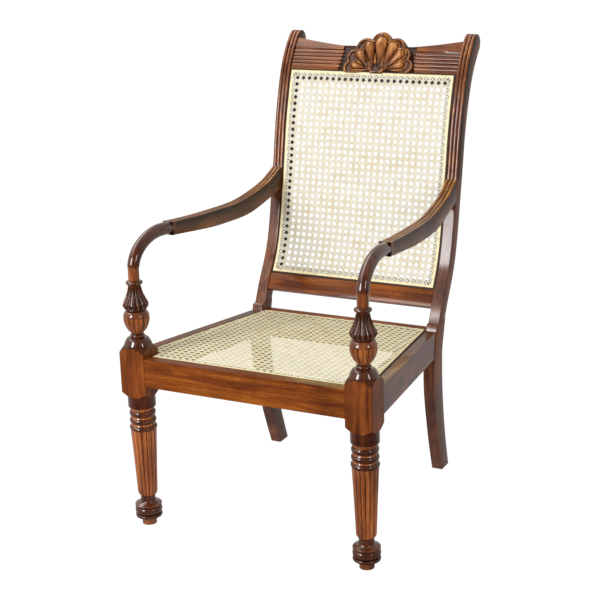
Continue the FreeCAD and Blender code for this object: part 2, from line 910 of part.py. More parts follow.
def arm():
    body = arm_board().fuse(arm_stem()).removeSplitter()
    inward = post_x - (stile_outer_x + stile_inner_x) / 2
    turn = math.degrees(math.atan2(inward, arm_shoulder_y + arm_reach))
    body.rotate(Vector(0, 0, 0), Vector(0, 0, 1), turn)
    body.translate(Vector(post_x, 0, 0))
    bore = rod(post_tenon_radius, post_tenon_length, Vector(post_x, 0, post_joint_height), Vector(0, 0, 1))
    stile = across(leg_face, stile_inner_x - arm_width, stile_outer_x + arm_width)
    return one_solid(body.cut(stile).cut(bore))


def arm_fixing(leg):
    """The screw from the back of the stile and the plug that hides it."""
    x = stile_outer_x - stile_width / 2
    front_y = front_at(arm_screw_height)[0].y
    tip = Vector(x, front_y - arm_screw_bite, arm_screw_height)
    way = rod(arm_plug_radius, leg.BoundBox.YMax, tip, Vector(0, 1, 0)).common(leg)
    back_y = way.BoundBox.YMax
    seat_y = back_y - arm_plug_length - arm_screw_head_height
    length = seat_y - tip.y
    shank = rod(arm_screw_radius, length, tip, Vector(0, 1, 0))
    head_start = tip + Vector(0, length, 0)
    head = rod(arm_screw_head_radius, arm_screw_head_height, head_start, Vector(0, 1, 0))
    plug_start = head_start + Vector(0, arm_screw_head_height, 0)
    plug = rod(arm_plug_radius, back_y, plug_start, Vector(0, 1, 0)).common(leg)
    return shank.fuse(head), plug


post = front_post()
leg = rear_leg()
side = side_rail(post, leg)
front = front_rail()
back = back_rail()
lower_back = band(lower_rail_low_height, lower_rail_high_height, lower_rail_setback,
                  lower_rail_thickness, -stile_inner_x, stile_inner_x)
crest = crest_rail()
arm_right = arm()
arm_screw, arm_plug = arm_fixing(leg)
front_block, front_screws = front_corner([front, post, side])
back_block, back_screws = back_corner([back, leg, side])

side_tongue = side_tenon()
front_tongue = front_tenon()
back_tongue = back_rail_tenon()
lower_tongue = back_tenon(lower_rail_low_height, lower_rail_high_height, lower_rail_setback,
                          lower_rail_thickness)
crest_tongue = back_tenon(crest_low_height, crest_end_height - crest_dip, crest_setback,
                          crest_thickness)
dowels = panel_dowels()
panel_tops = panel_tenon(panel_high - panel_top_width, panel_high)
panel_foots = panel_tenon(panel_low, panel_low + panel_bottom_width)
shell = crest_shell()
screws = [screw for screw, way in front_screws + back_screws]

side_screws = Part.makeCompound([front_screws[1][0], back_screws[1][0]])
front_rail_screws = Part.makeCompound([front_screws[0][0], mirrored(front_screws[0][0])])
back_rail_screws = Part.makeCompound([back_screws[0][0], mirrored(back_screws[0][0])])


def drilled(block, pair):
    for screw, way in pair:
        block = block.cut(screw.fuse(way))
    return one_solid(block)


front_block = drilled(front_block, front_screws)
back_block = drilled(back_block, back_screws)
post = post.cut(side_tongue).cut(front_tongue)
leg = leg.cut(Part.makeCompound([side_tongue, back_tongue, lower_tongue, crest_tongue] + dowels))
leg = leg.cut(arm_screw).cut(arm_plug)
arm_right = one_solid(arm_right.cut(arm_screw))
side = side.fuse(side_tongue).removeSplitter().cut(side_screws)

inner = panel_half_width - panel_side_width
frame_side = panel_board(panel_low, panel_high, inner, panel_half_width)
frame_side = frame_side.cut(Part.makeCompound([panel_tops, panel_foots] + dowels))
frame_top = panel_board(panel_high - panel_top_width, panel_high, -inner, inner)
frame_bottom = panel_board(panel_low, panel_low + panel_bottom_width, -inner, inner)

nodes = {
    "front_post_right": post,
    "front_post_left": mirrored(post),
    "rear_leg_right": leg,
    "rear_leg_left": mirrored(leg),
    "front_seat_rail": front.fuse(front_tongue).removeSplitter().cut(front_rail_screws),
    "back_seat_rail": back.fuse(back_tongue).removeSplitter().cut(back_rail_screws),
    "side_seat_rail_right": side,
    "side_seat_rail_left": mirrored(side),
    "crest_rail": one_solid(crest.fuse(crest_tongue).removeSplitter().cut(shell)),
    "crest_shell": shell,
    "lower_back_rail": lower_back.fuse(lower_tongue).removeSplitter(),
    "arm_right": arm_right,
    "arm_left": mirrored(arm_right),
    "back_frame_right": frame_side,
    "back_frame_left": mirrored(frame_side),
    "back_frame_top": frame_top.fuse(panel_tops).removeSplitter(),
    "back_frame_bottom": frame_bottom.fuse(panel_foots).removeSplitter(),
    "back_cane": back_cane(),
    "back_cane_binder": back_binder(),
    "back_panel_dowels": Part.makeCompound(dowels),
    "corner_block_front_right": front_block,
    "corner_block_front_left": mirrored(front_block),
    "corner_block_back_right": back_block,
    "corner_block_back_left": mirrored(back_block),
    "corner_block_screws": Part.makeCompound(screws + [mirrored(screw) for screw in screws]),
    "arm_screws": Part.makeCompound([arm_screw, mirrored(arm_screw)]),
    "arm_screw_plugs": Part.makeCompound([arm_plug, mirrored(arm_plug)]),
}
for name, shape in loose_seat().items():
    nodes[name] = tilted(shape)

extent = Part.makeCompound(list(nodes.values())).optimalBoundingBox(False, False)
middle = Vector(-extent.Center.x, -extent.Center.y, -extent.ZMin)
os.makedirs("parts", exist_ok=True)
for name, shape in nodes.items():
    moved = shape.copy()
    moved.translate(middle)
    if len(moved.Solids) == 1:
        moved = moved.Solids[0]
    moved.exportStep("parts/" + name + ".step")
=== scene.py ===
import json
import math

import bmesh
import bpy
import numpy as np
from mathutils import Matrix, Vector

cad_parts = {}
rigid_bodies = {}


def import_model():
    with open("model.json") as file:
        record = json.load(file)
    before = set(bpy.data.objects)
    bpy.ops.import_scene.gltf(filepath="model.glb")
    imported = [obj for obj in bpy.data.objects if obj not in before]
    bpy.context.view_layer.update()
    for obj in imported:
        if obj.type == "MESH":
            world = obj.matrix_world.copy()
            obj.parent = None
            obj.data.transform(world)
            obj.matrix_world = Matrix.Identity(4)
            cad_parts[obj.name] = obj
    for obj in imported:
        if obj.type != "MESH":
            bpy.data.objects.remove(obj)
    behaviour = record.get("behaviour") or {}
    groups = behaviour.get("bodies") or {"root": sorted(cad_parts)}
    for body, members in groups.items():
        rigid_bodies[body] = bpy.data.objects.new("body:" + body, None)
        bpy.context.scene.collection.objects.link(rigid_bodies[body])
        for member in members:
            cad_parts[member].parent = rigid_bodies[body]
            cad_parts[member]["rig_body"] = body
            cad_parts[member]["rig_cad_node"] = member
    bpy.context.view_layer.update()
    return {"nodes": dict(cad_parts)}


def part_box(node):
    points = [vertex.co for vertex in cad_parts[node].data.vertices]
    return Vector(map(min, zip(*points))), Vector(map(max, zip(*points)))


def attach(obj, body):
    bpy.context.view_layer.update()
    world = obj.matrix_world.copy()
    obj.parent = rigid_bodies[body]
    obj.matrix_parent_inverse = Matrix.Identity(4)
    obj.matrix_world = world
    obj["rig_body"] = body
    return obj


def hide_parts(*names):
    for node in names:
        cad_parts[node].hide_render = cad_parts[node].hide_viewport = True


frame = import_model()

# All sizes are in millimetres. Heights are from the floor and depths from the axes of
# the front posts, as the chair is set out, and placed() brings them to the frame.
MM = 0.001
SAME_PLACE = 0.01 * MM
SIDES = ("_right", "_left")
POST_X = 270.0
POST_LOW, POST_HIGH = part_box("front_post_right")
POST_Y = (POST_LOW.y + POST_HIGH.y) / 2 / MM
HALF_BLOCK = 30.65
SQUARE_LOW, SQUARE_HIGH = 310.0, 426.0
STEM_LOW = 585.0
# BAND_SHADE is a painted highlight that makes the band under the arm paler than the stem above it.
BAND_RADIUS, BAND_TOP, BAND_SHADE = 12.2, 600.5, -0.5
STILE_X, STILE_HALF = 230.5, 13.5
SEAT_FRONT = 404.5
SEAT_SLOPE = math.radians(3.7)
RAIL_FACE_Y = -29.15
LEDGE_Y, LEDGE_Z = 475.0, 386.0
# Depth, height and thickness along the front line of a stile, and of a rear leg from the top down
STILE_ROWS = [
    (487.0, 386.0, 34.0), (508.9, 430.2, 34.0), (550.0, 500.1, 34.0), (575.0, 570.0, 34.0),
    (592.0, 650.1, 34.0), (609.0, 730.2, 34.0), (622.0, 800.1, 34.0), (643.0, 880.2, 35.7),
    (668.0, 950.1, 40.8), (698.9, 1000.1, 44.9), (723.0, 1027.0, 44.9),
]
LEG_ROWS = [
    (455.0, 300.0, 54.9), (458.0, 249.0, 56.0), (476.0, 165.0, 51.5), (500.8, 81.0, 47.0), (530.0, 0.0, 43.1),
]
PANEL_LOW, PANEL_HIGH = 457.6, 944.4
PANEL_HALF = 216.4


def placed(x, y, z):
    return Vector((x * MM, (y + POST_Y) * MM, z * MM))


def arch(place, power=2):
    """A round arch, 1 in its middle and 0 at a distance of 1. A higher power makes it fuller."""
    return math.sqrt(max(0.0, 1 - abs(place) ** power))


def turns(steps):
    """Angles all the way round."""
    return [2 * math.pi * step / steps for step in range(steps)]


def clear_selection():
    if bpy.context.object and bpy.context.object.mode != "OBJECT":
        bpy.ops.object.mode_set(mode="OBJECT")
    bpy.ops.object.select_all(action="DESELECT")


def pick(piece):
    clear_selection()
    piece.select_set(True)
    bpy.context.view_layer.objects.active = piece


def in_edit_mode(piece, *steps):
    """Runs mesh operators on all of a piece."""
    pick(piece)
    bpy.ops.object.mode_set(mode="EDIT")
    bpy.ops.mesh.select_all(action="SELECT")
    for step, settings in steps:
        step(**settings)
    bpy.ops.object.mode_set(mode="OBJECT")


def skinned(name, rings, shades=None, tips=True):
    """Rings of points joined one to the next into a closed skin. Shades say how dark the painted shade and
    glaze lie at each point, and below zero how bright its painted highlight is."""
    count = len(rings[0])
    clear_selection()
    bpy.ops.mesh.primitive_grid_add(x_subdivisions=count, y_subdivisions=len(rings) - 1, size=1)
    piece = bpy.context.object
    piece.name = name
    points = np.array([[*ring, ring[0]] for ring in rings], dtype=np.float32)
    piece.data.vertices.foreach_set("co", points.reshape(-1))
    if shades is not None:
        depth = np.array([[*row, row[0]] for row in shades], dtype=np.float32)
        layer = piece.data.attributes.new("glaze_and_painted_light", "FLOAT", "POINT")
        layer.data.foreach_set("value", depth.reshape(-1))
    steps = [(bpy.ops.mesh.remove_doubles, {"threshold": SAME_PLACE})]
    if tips:
        steps.append((bpy.ops.mesh.fill_holes, {"sides": 0}))
    steps.append((bpy.ops.mesh.normals_make_consistent, {"inside": False}))
    in_edit_mode(piece, *steps)
    return piece


def shaded(name, rings):
    """A skin whose rings give each point together with its shade."""
    points, shades = zip(*(zip(*ring) for ring in rings))
    return skinned(name, points, shades)


def modified(piece, kind, **settings):
    """Adds one modifier and applies it."""
    pick(piece)
    modifier = piece.modifiers.new(kind.title(), kind)
    for key, value in settings.items():
        setattr(modifier, key, value)
    bpy.ops.object.modifier_apply(modifier=modifier.name)
    return piece


def added(name, data):
    """A new object of the scene, for a mesh, a lamp or a camera."""
    holder = bpy.data.objects.new(name, data)
    bpy.context.scene.collection.objects.link(holder)
    return holder


def copied(source, name):
    """A copy with a mesh of its own."""
    piece = source.copy()
    piece.data = source.data.copy()
    piece.name = name
    bpy.context.scene.collection.objects.link(piece)
    return piece


def keep(piece, material, node, body="frame", angle=38.0):
    """Shades a finished piece and fixes it to its body in place of its CAD node."""
    pick(piece)
    bpy.ops.object.shade_smooth_by_angle(angle=math.radians(angle))
    piece.data.materials.clear()
    piece.data.materials.append(material)
    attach(piece, body)
    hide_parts(node)


def both_sides(piece, stem, material, node, angle):
    """Keeps a right-hand piece of the frame and its copy on the left."""
    twin = copied(piece, stem + "_left")
    twin.data.transform(Matrix.Scale(-1, 4, Vector((1, 0, 0))))
    twin.data.flip_normals()
    piece.name = stem + "_right"
    for each, side in zip((piece, twin), SIDES):
        keep(each, material, node + side, angle=angle)


def eased(node, width):
    """A copy of a straight CAD piece with its arrises taken off."""
    piece = copied(frame["nodes"][node], node + "_eased")
    piece.parent = None
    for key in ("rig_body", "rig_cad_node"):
        if key in piece:
            del piece[key]
    in_edit_mode(
        piece,
        (bpy.ops.mesh.remove_doubles, {"threshold": SAME_PLACE}),
        (bpy.ops.mesh.dissolve_limited, {"angle_limit": math.radians(1.0)}),
    )
    return modified(piece, "BEVEL", width=width * MM, segments=2, limit_method="ANGLE",
                    angle_limit=math.radians(50), harden_normals=False)


class Curve:
    """A smooth line through points, bent as little as it can be."""

    def __init__(self, points):
        self.points = np.array(points, dtype=float)
        step = np.linalg.norm(np.diff(self.points, axis=0), axis=1)
        self.at_points = np.concatenate([[0.0], np.cumsum(step)])
        count = len(self.points)
        matrix = np.zeros((count, count))
        right = np.zeros_like(self.points)
        matrix[0, 0] = matrix[-1, -1] = 1.0
        slope = np.diff(self.points, axis=0) / step[:, None]
        for k in range(1, count - 1):
            matrix[k, k - 1:k + 2] = step[k - 1], 2 * (step[k - 1] + step[k]), step[k]
            right[k] = 6 * (slope[k] - slope[k - 1])
        self.bend = np.linalg.solve(matrix, right)
        self.length = self.at_points[-1]

    def __call__(self, t):
        k = int(np.clip(np.searchsorted(self.at_points, t) - 1, 0, len(self.points) - 2))
        width = self.at_points[k + 1] - self.at_points[k]
        a = (self.at_points[k + 1] - t) / width
        b = 1 - a
        bow = ((a ** 3 - a) * self.bend[k] + (b ** 3 - b) * self.bend[k + 1]) * width ** 2 / 6
        return a * self.points[k] + b * self.points[k + 1] + bow

    def along(self, t):
        step = 0.5
        way = self(min(t + step, self.length)) - self(max(t - step, 0.0))
        return way / np.linalg.norm(way)

    def at_height(self, height):
        low, high = 0.0, self.length
        for _ in range(40):
            middle = (low + high) / 2
            if self(middle)[1] < height:
                low = middle
            else:
                high = middle
        return low


STILE = Curve([(y, z) for y, z, depth in STILE_ROWS])


def stile_frame(t):
    """A point of the stiles' front line and the way that faces backwards there."""
    point = STILE(t)
    way = STILE.along(t)
    return point, np.array([way[1], -way[0]])


def behind(t, depth):
    point, back = stile_frame(t)
    return point + back * depth


# Materials

WHITE = (1.0, 1.0, 1.0)
GRAIN = {"x": (1.0, 14.0, 14.0), "y": (14.0, 1.0, 14.0), "z": (14.0, 14.0, 1.0)}
FRONT_CORNER = (1.0, -0.3, 0.0)


def filled(tree, node, inputs):
    """Sets the inputs of a shader node, or links the sockets that feed them."""
    for key, value in inputs.items():
        if isinstance(value, bpy.types.NodeSocket):
            tree.links.new(value, node.inputs[key])
        else:
            node.inputs[key].default_value = value
    return node


def made(tree, kind, inputs, **settings):
    """A new shader node."""
    node = tree.nodes.new("ShaderNode" + kind)
    for key, value in settings.items():
        setattr(node, key, value)
    return filled(tree, node, inputs)


def ramp(tree, factor, stops):
    node = made(tree, "ValToRGB", {"Fac": factor})
    while len(node.color_ramp.elements) < len(stops):
        node.color_ramp.elements.new(0.5)
    for element, (place, colour) in zip(node.color_ramp.elements, stops):
        element.position = place
        element.color = (*colour, 1.0)
    return node.outputs["Color"]


def noise(tree, coordinates, scale, detail=4.0, rough=0.55, twist=0.0):
    return made(tree, "TexNoise", {"Vector": coordinates, "Scale": scale, "Detail": detail,
                                   "Roughness": rough, "Distortion": twist}).outputs["Fac"]


def on_piece(tree):
    return made(tree, "TexCoord", {}).outputs["Object"]


def stretched(tree, scale=(1.0, 1.0, 1.0)):
    return made(tree, "Mapping", {"Vector": on_piece(tree), "Scale": scale}).outputs["Vector"]


def ranged(tree, value, low, high):
    return made(tree, "MapRange", {"Value": value, "To Min": low, "To Max": high}).outputs["Result"]


def eased_range(tree, value, start, end, low, high):
    return made(tree, "MapRange", {"Value": value, "From Min": start, "From Max": end, "To Min": low,
                                   "To Max": high}, interpolation_type="SMOOTHSTEP").outputs["Result"]


def mixed(tree, factor, first, second, mode="MIX"):
    first, second = ((*value, 1.0) if isinstance(value, tuple) else value for value in (first, second))
    return made(tree, "Mix", {"Factor": factor, 6: first, 7: second},
                data_type="RGBA", blend_type=mode).outputs[2]


def bumped(tree, height, strength, distance):
    return made(tree, "Bump", {"Height": height, "Strength": strength,
                               "Distance": distance}).outputs["Normal"]


def measured(tree, coordinates, way):
    """How far a place lies along a way."""
    return made(tree, "VectorMath", {0: coordinates, 1: way}, operation="DOT_PRODUCT").outputs["Value"]


def reckoned(tree, operation, first, second, clamp=False):
    return made(tree, "Math", {0: first, 1: second}, operation=operation, use_clamp=clamp).outputs[0]


def finished(material, inputs):
    """Sets the surface of a material."""
    tree = material.node_tree
    filled(tree, tree.nodes["Principled BSDF"], inputs)
    return material


def new_material(name):
    material = bpy.data.materials.new(name)
    material.use_nodes = True
    return material, material.node_tree


def polished_wood(name, way, shades, coat=0.35, rough=0.34, shine=0.3, gloss=0.06, highlight_tint=(2.9, 3.5, 3.2),
                  glaze_and_shade_colour=(0.008, 0.002, 0.001), highlight_fade_span=None):
    """Stained hardwood under a polish, its grain along one way. A value on each point or face paints dark
    into cuts and hollows, partly a dark glaze and partly painted shade where shade falls. Below zero it
    paints a highlight that lightens crowns, fillets and upper faces catching the light. The fade span gives
    two places between which that painted highlight comes in towards the right front corner."""
    material, tree = new_material(name)
    figure = noise(tree, stretched(tree, GRAIN[way]), 4.2, 6.0, 0.62, 1.1)
    cloud = noise(tree, stretched(tree), 9.0, 3.0, 0.5)
    pores = noise(tree, stretched(tree, tuple(value * 5.0 for value in GRAIN[way])), 16.0, 3.0, 0.7)
    colour = ramp(tree, figure, list(zip((0.30, 0.50, 0.72), shades)))
    streaks = ramp(tree, pores, [(0.36, (0.34, 0.26, 0.22)), (0.54, WHITE)])
    colour = mixed(tree, 0.6, colour, streaks, "MULTIPLY")
    clouds = ramp(tree, cloud, [(0.34, (0.56, 0.50, 0.46)), (0.62, (1.18, 1.16, 1.12))])
    colour = mixed(tree, 0.85, colour, clouds, "MULTIPLY")
    glaze_and_painted_light = made(tree, "Attribute", {}, attribute_name="glaze_and_painted_light").outputs["Fac"]
    # Painted highlight: values below zero lighten the wood where light catches it
    painted_highlight = reckoned(tree, "MULTIPLY", glaze_and_painted_light, -1.0, clamp=True)
    if highlight_fade_span:
        corner = eased_range(tree, measured(tree, on_piece(tree), FRONT_CORNER), *highlight_fade_span, 0.0, 1.0)
        painted_highlight = reckoned(tree, "MULTIPLY", painted_highlight, corner)
    colour = mixed(tree, painted_highlight, colour, mixed(tree, 1.0, colour, highlight_tint, "MULTIPLY"))
    return finished(material, {
        # Painted shade and dark glaze: values above zero darken the cuts and hollows
        "Base Color": mixed(tree, glaze_and_painted_light, colour, glaze_and_shade_colour),
        "Roughness": ranged(tree, pores, rough - 0.05, rough + 0.12),
        "Normal": bumped(tree, pores, 0.12, 0.0004),
        "Coat Weight": ranged(tree, glaze_and_painted_light, coat, 0.0),
        "Coat Roughness": gloss,
        "Specular IOR Level": shine,
    })


# The darkest copy of the mahogany, partly painted shade standing for the dark surroundings its gloss mirrors.
TURNED_SHADED_DARK = polished_wood(
    "turned_mahogany", "z", ((0.038, 0.007, 0.002), (0.075, 0.016, 0.0035), (0.14, 0.036, 0.008)),
    coat=1.0, rough=0.32, shine=0.25, gloss=0.035, highlight_tint=(4.4, 5.6, 5.2), glaze_and_shade_colour=(0.006, 0.001, 0.0007))
UPRIGHT = polished_wood(
    "upright_mahogany", "z", ((0.055, 0.011, 0.0025), (0.135, 0.033, 0.0065), (0.26, 0.083, 0.019)),
    coat=0.6, gloss=0.16)
BLOCKS = polished_wood(
    "block_mahogany", "z", ((0.080, 0.016, 0.003), (0.185, 0.044, 0.0065), (0.31, 0.092, 0.016)),
    coat=0.15, shine=0.15)
# The tint and fade span of the two rail woods paint a highlight on the seat rails' tops, coming in towards
# the right front corner.
CROSS = polished_wood(
    "cross_mahogany", "x", ((0.085, 0.016, 0.002), (0.205, 0.048, 0.0035), (0.36, 0.110, 0.009)),
    coat=0.15, shine=0.15, highlight_tint=(1.5, 3.2, 9.0), highlight_fade_span=(0.19, 0.26))
ALONG = polished_wood(
    "along_mahogany", "y", ((0.080, 0.022, 0.004), (0.165, 0.054, 0.010), (0.28, 0.108, 0.025)), coat=0.3)
SIDE_RAIL = polished_wood(
    "side_rail_mahogany", "y", ((0.055, 0.011, 0.0025), (0.125, 0.030, 0.006), (0.24, 0.075, 0.018)),
    coat=0.3, highlight_tint=(2.2, 5.0, 9.0), highlight_fade_span=(0.25, 0.33))
CRESTED = polished_wood(
    "crest_mahogany", "x", ((0.095, 0.018, 0.003), (0.21, 0.052, 0.007), (0.36, 0.115, 0.018)),
    coat=0.4, rough=0.32, shine=0.35, glaze_and_shade_colour=(0.022, 0.004, 0.002))
CARVED = polished_wood(
    "carved_mahogany", "z", ((0.085, 0.018, 0.003), (0.20, 0.052, 0.009), (0.38, 0.13, 0.034)),
    coat=0.6, rough=0.30, shine=0.4, highlight_tint=(2.9, 4.4, 5.0), glaze_and_shade_colour=(0.010, 0.002, 0.001))


def plain_wood(name, way, dark, light):
    """Raw timber of the glue blocks and the panel frames."""
    material, tree = new_material(name)
    figure = noise(tree, stretched(tree, GRAIN[way]), 7.0, 6.0, 0.6, 0.4)
    return finished(material, {
        "Base Color": ramp(tree, figure, [(0.3, dark), (0.72, light)]),
        "Roughness": ranged(tree, figure, 0.5, 0.75),
        "Normal": bumped(tree, figure, 0.15, 0.0005),
    })


FRAME_ACROSS, FRAME_ALONG, FRAME_UP = (
    plain_wood("panel_frame_" + run, way, (0.022, 0.008, 0.003), (0.065, 0.024, 0.009))
    for run, way in (("across", "x"), ("along", "y"), ("up", "z"))
)
GLUE_BLOCK = plain_wood("glue_block_wood", "x", (0.20, 0.10, 0.048), (0.36, 0.20, 0.10))


def rattan(name, pale, tan, brown, fibre_scale):
    """Split cane: a glossy rind with long fibres and tan flecks."""
    material, tree = new_material(name)
    patches = noise(tree, stretched(tree), 38.0, 3.0, 0.6)
    fibre = noise(tree, stretched(tree), fibre_scale, 2.0, 0.5)
    colour = ramp(tree, patches, [(0.30, tan), (0.52, pale), (0.80, pale)])
    flecks = ramp(tree, fibre, [(0.30, brown), (0.46, WHITE)])
    return finished(material, {
        "Base Color": mixed(tree, 0.5, colour, flecks, "MULTIPLY"),
        "Roughness": ranged(tree, fibre, 0.34, 0.52),
        "Normal": bumped(tree, fibre, 0.25, 0.0003),
    })


# Seat and back share one cane: the seat's copy is paler, partly painted light for the light the seat lacks,
# and the back's is dimmer, partly painted shade.
SEAT_CANE_PALER_LIT = rattan("seat_cane_rind", (0.97, 0.90, 0.62), (0.90, 0.76, 0.45), (0.70, 0.56, 0.34), 420.0)
BACK_CANE_DIMMED = rattan("back_cane_rind", (0.76, 0.72, 0.60), (0.71, 0.61, 0.43), (0.68, 0.57, 0.40), 420.0)
BINDER = rattan("cane_binder", (0.94, 0.83, 0.50), (0.84, 0.70, 0.38), (0.66, 0.52, 0.32), 300.0)


def brushed_steel(name):
    material, tree = new_material(name)
    marks = noise(tree, stretched(tree), 900.0, 2.0)
    return finished(material, {
        "Base Color": ramp(tree, marks, [(0.3, (0.36, 0.35, 0.33)), (0.7, (0.58, 0.57, 0.54))]),
        "Roughness": ranged(tree, marks, 0.28, 0.45),
        "Metallic": 1.0,
    })


STEEL = brushed_steel("screw_steel")

# Turned front posts

CUTS = 16
CUT_STEPS = 10
SHAFT_TOP = 232.5
COLLAR_FOOT = 563.2


def bead(start, end, rise, swell, steps=8):
    """Points of a rounded moulding, from one radius to the next."""
    rows = []
    for step in range(1, steps + 1):
        share = (1 - math.cos(math.pi * step / steps)) / 2
        rows.append((start + (end - start) * share + swell * math.sin(math.pi * step / steps), rise * share))
    return rows


class Turning:
    """Radius, height and kind of carving of a turned piece, drawn upwards. Shade is above zero where painted
    shade and glaze lie dark, and below zero where a painted highlight lightens the wood."""

    def __init__(self, radius, height):
        self.rows = [(radius, height, "plain", 0.0)]

    @property
    def top(self):
        return self.rows[-1][1]

    def up_to(self, radius, height, shade=0.0):
        self.rows.append((radius, height, "plain", shade))
        return self

    def line(self, radius, rise, shade=0.0):
        return self.up_to(radius, self.top + rise, shade)

    def round(self, radius, rise, swell, steps=8, shade=0.0):
        foot = self.top
        for wide, high in bead(self.rows[-1][0], radius, rise, swell, steps):
            self.up_to(wide, foot + high, shade)
        return self

    def carved(self, points, kind, depth, steps=22):
        """A carved stretch through radius and height points, its cuts fading out at both ends."""
        foot = self.top
        curve = Curve([(self.rows[-1][0], 0.0)] + points)
        for step in range(1, steps + 1):
            share = step / steps
            radius, high = curve(curve.length * share)
            fade = min(1.0, share / 0.07, (1 - share) / 0.07)
            self.rows.append((radius, foot + high, kind, depth * math.sqrt(max(fade, 0.0))))
        return self


def cut_share(kind, angle):
    """How much of its depth a reed's quirk or a flute has at an angle, from 0 to 1."""
    place = (angle * CUTS / (2 * math.pi)) % 1.0 * 2 - 1
    if kind == "reed":
        return 1 - arch(place, 2.6)
    return arch(place, 2.2) if kind == "flute" else 0.0


def cut_shade(kind, cut, depth, height):
    """Painted shade and glaze in quirks and flutes, painted highlight on the crowns between them."""
    if kind == "plain":
        return depth
    if kind == "flute":
        return (0.55 if cut > 0.6 else -0.9) * min(1.0, depth)
    if cut < 0.35:
        return (-0.95 if height < SHAFT_TOP + 7.5 else -0.8) * min(1.0, depth)
    return min(1.0, cut * 1.1) * min(1.0, depth / 1.6) * 0.95


def turned(name, turning):
    """A turned and carved piece round the axis of the right post."""
    rings = []
    for radius, height, kind, depth in turning.rows:
        ring = []
        for angle in turns(CUTS * CUT_STEPS):
            cut = cut_share(kind, angle)
            wide = radius - depth * cut
            point = placed(POST_X + wide * math.cos(angle), wide * math.sin(angle), height)
            ring.append((point, cut_shade(kind, cut, depth, height)))
        rings.append(ring)
    return shaded(name, rings)


# In the profiles below, a shade above zero paints shade and glaze into quirks and grooves, and below zero
# paints a highlight on fillets, crowns and upper slopes.
def foot_and_dish(leg):
    """Peg, disc and bun of the foot, and the dish that carries the shaft."""
    leg.line(16.2, 0.0, -0.5).round(17.0, 15.5, -0.2, 6, -0.5)
    leg.round(29.0, 4.5, 3.0, 8).round(28.6, 5.5, 1.4, 6)
    leg.line(24.8, 0.4, 0.9).line(24.8, 1.0, 0.9).round(25.6, 16.5, 5.2, 12)
    leg.line(24.4, 0.4, 0.9).line(24.4, 1.0, 0.9)
    leg.line(29.4, 0.5, -0.6).round(29.8, 3.8, 0.5, 5).line(28.6, 0.4, -0.8)
    leg.round(18.0, 6.4, -3.6, 10).round(17.0, 14.0, -1.0, 8)


def shaft_and_rings(leg):
    """Reeded shaft, its cap, two rings, a cove and a grooved drum."""
    leg.carved([(20.9, 4.6), (22.2, 12.0), (24.2, 62.0), (26.6, 114.0), (28.9, SHAFT_TOP - leg.top)],
               "reed", 2.8, 44)
    leg.line(30.2, 0.5).round(30.4, 3.4, 0.3, 4).round(26.8, 4.4, 1.0, 6).line(25.2, 0.8, 0.8)
    for swell in (4.4, 3.9):
        leg.line(27.2, 0.5, -1.0).line(25.8, 3.0, -1.0).line(25.2, 0.5, 0.6)
        leg.round(25.4, 12.6, swell, 10).line(25.0, 0.6, 0.6)
    leg.line(25.6, 0.5, -1.0).line(27.4, 5.0, -1.0).line(29.2, 2.6, -1.0)
    leg.line(30.5, 0.8).line(30.6, 2.4).line(29.6, 0.5, 0.95).line(30.6, 0.6)
    leg.line(30.6, 4.0).line(29.6, 0.6, 0.95).line(30.7, 0.7).up_to(30.7, SQUARE_LOW - 10.0)


def core_of_square(leg):
    leg.up_to(30.6, SQUARE_LOW).up_to(30.0, SQUARE_HIGH - 6.0)
    leg.round(30.5, 3.0, 0.0, 3).line(30.5, 4.0)


def dome_and_urn(leg):
    """Dome above the square, a thin neck and the lobed urn."""
    leg.round(22.8, 16.0, 1.6, 12).line(21.5, 0.4, 0.8).round(14.2, 1.6, 0.2, 4)
    leg.round(13.6, 6.6, 2.4, 8).line(12.6, 0.5, 0.8).round(13.4, 3.0, 0.5, 4)
    leg.carved([(20.6, 7.5), (24.4, 14.7), (28.0, 25.5), (28.6, 33.0), (28.0, 38.0)], "reed", 2.6, 32)
    leg.round(22.0, 12.0, 1.9, 8, -0.3)


def vase_and_collar(leg):
    """Fluted vase, collar and the band under the arm, made pale with painted highlight, with the tenon that
    enters the arm's stem.
    """
    leg.line(21.0, 0.8, 0.8).line(21.2, 1.2, 0.8).round(24.2, 3.2, 0.8, 5)
    leg.carved([(27.2, 4.0), (28.5, 9.2), (25.4, 16.7), (21.9, 23.9), (18.9, 31.1), (16.6, 38.3),
                (15.0, 45.5), (14.2, 50.4)], "flute", 2.6, 40)
    leg.up_to(14.0, COLLAR_FOOT).line(13.0, 0.6, 0.8).round(13.0, 8.2, 5.8, 12).line(11.8, 0.6, 0.8)
    leg.round(BAND_RADIUS, 3.4, -0.1, 4, BAND_SHADE)
    leg.round(BAND_RADIUS, STEM_LOW - leg.top, 0.0, 4, BAND_SHADE)
    leg.line(6.9, 0.0).line(6.9, 22.0)


leg = Turning(11.0, 0.0)
for stretch in (foot_and_dish, shaft_and_rings, core_of_square, dome_and_urn, vase_and_collar):
    stretch(leg)
both_sides(turned("turned_post", leg), "turned_post", TURNED_SHADED_DARK, "front_post", 42.0)


def paint_light_on_faces(piece, rule):
    """Tells each face how dark its painted shade lies, or below zero how bright its painted highlight is."""
    old = piece.data.attributes.get("glaze_and_painted_light")
    if old:
        piece.data.attributes.remove(old)
    layer = piece.data.attributes.new("glaze_and_painted_light", "FLOAT", "FACE")
    layer.data.foreach_set("value", [rule(face.normal) for face in piece.data.polygons])


def block_painted_shade(normal):
    """Painted shade on the turned shoulders and on the arris that faces front and right."""
    if 0.12 < abs(normal.z) < 0.95:
        return 0.55
    return 0.8 if normal.x > 0.3 and normal.y < -0.3 else 0.0


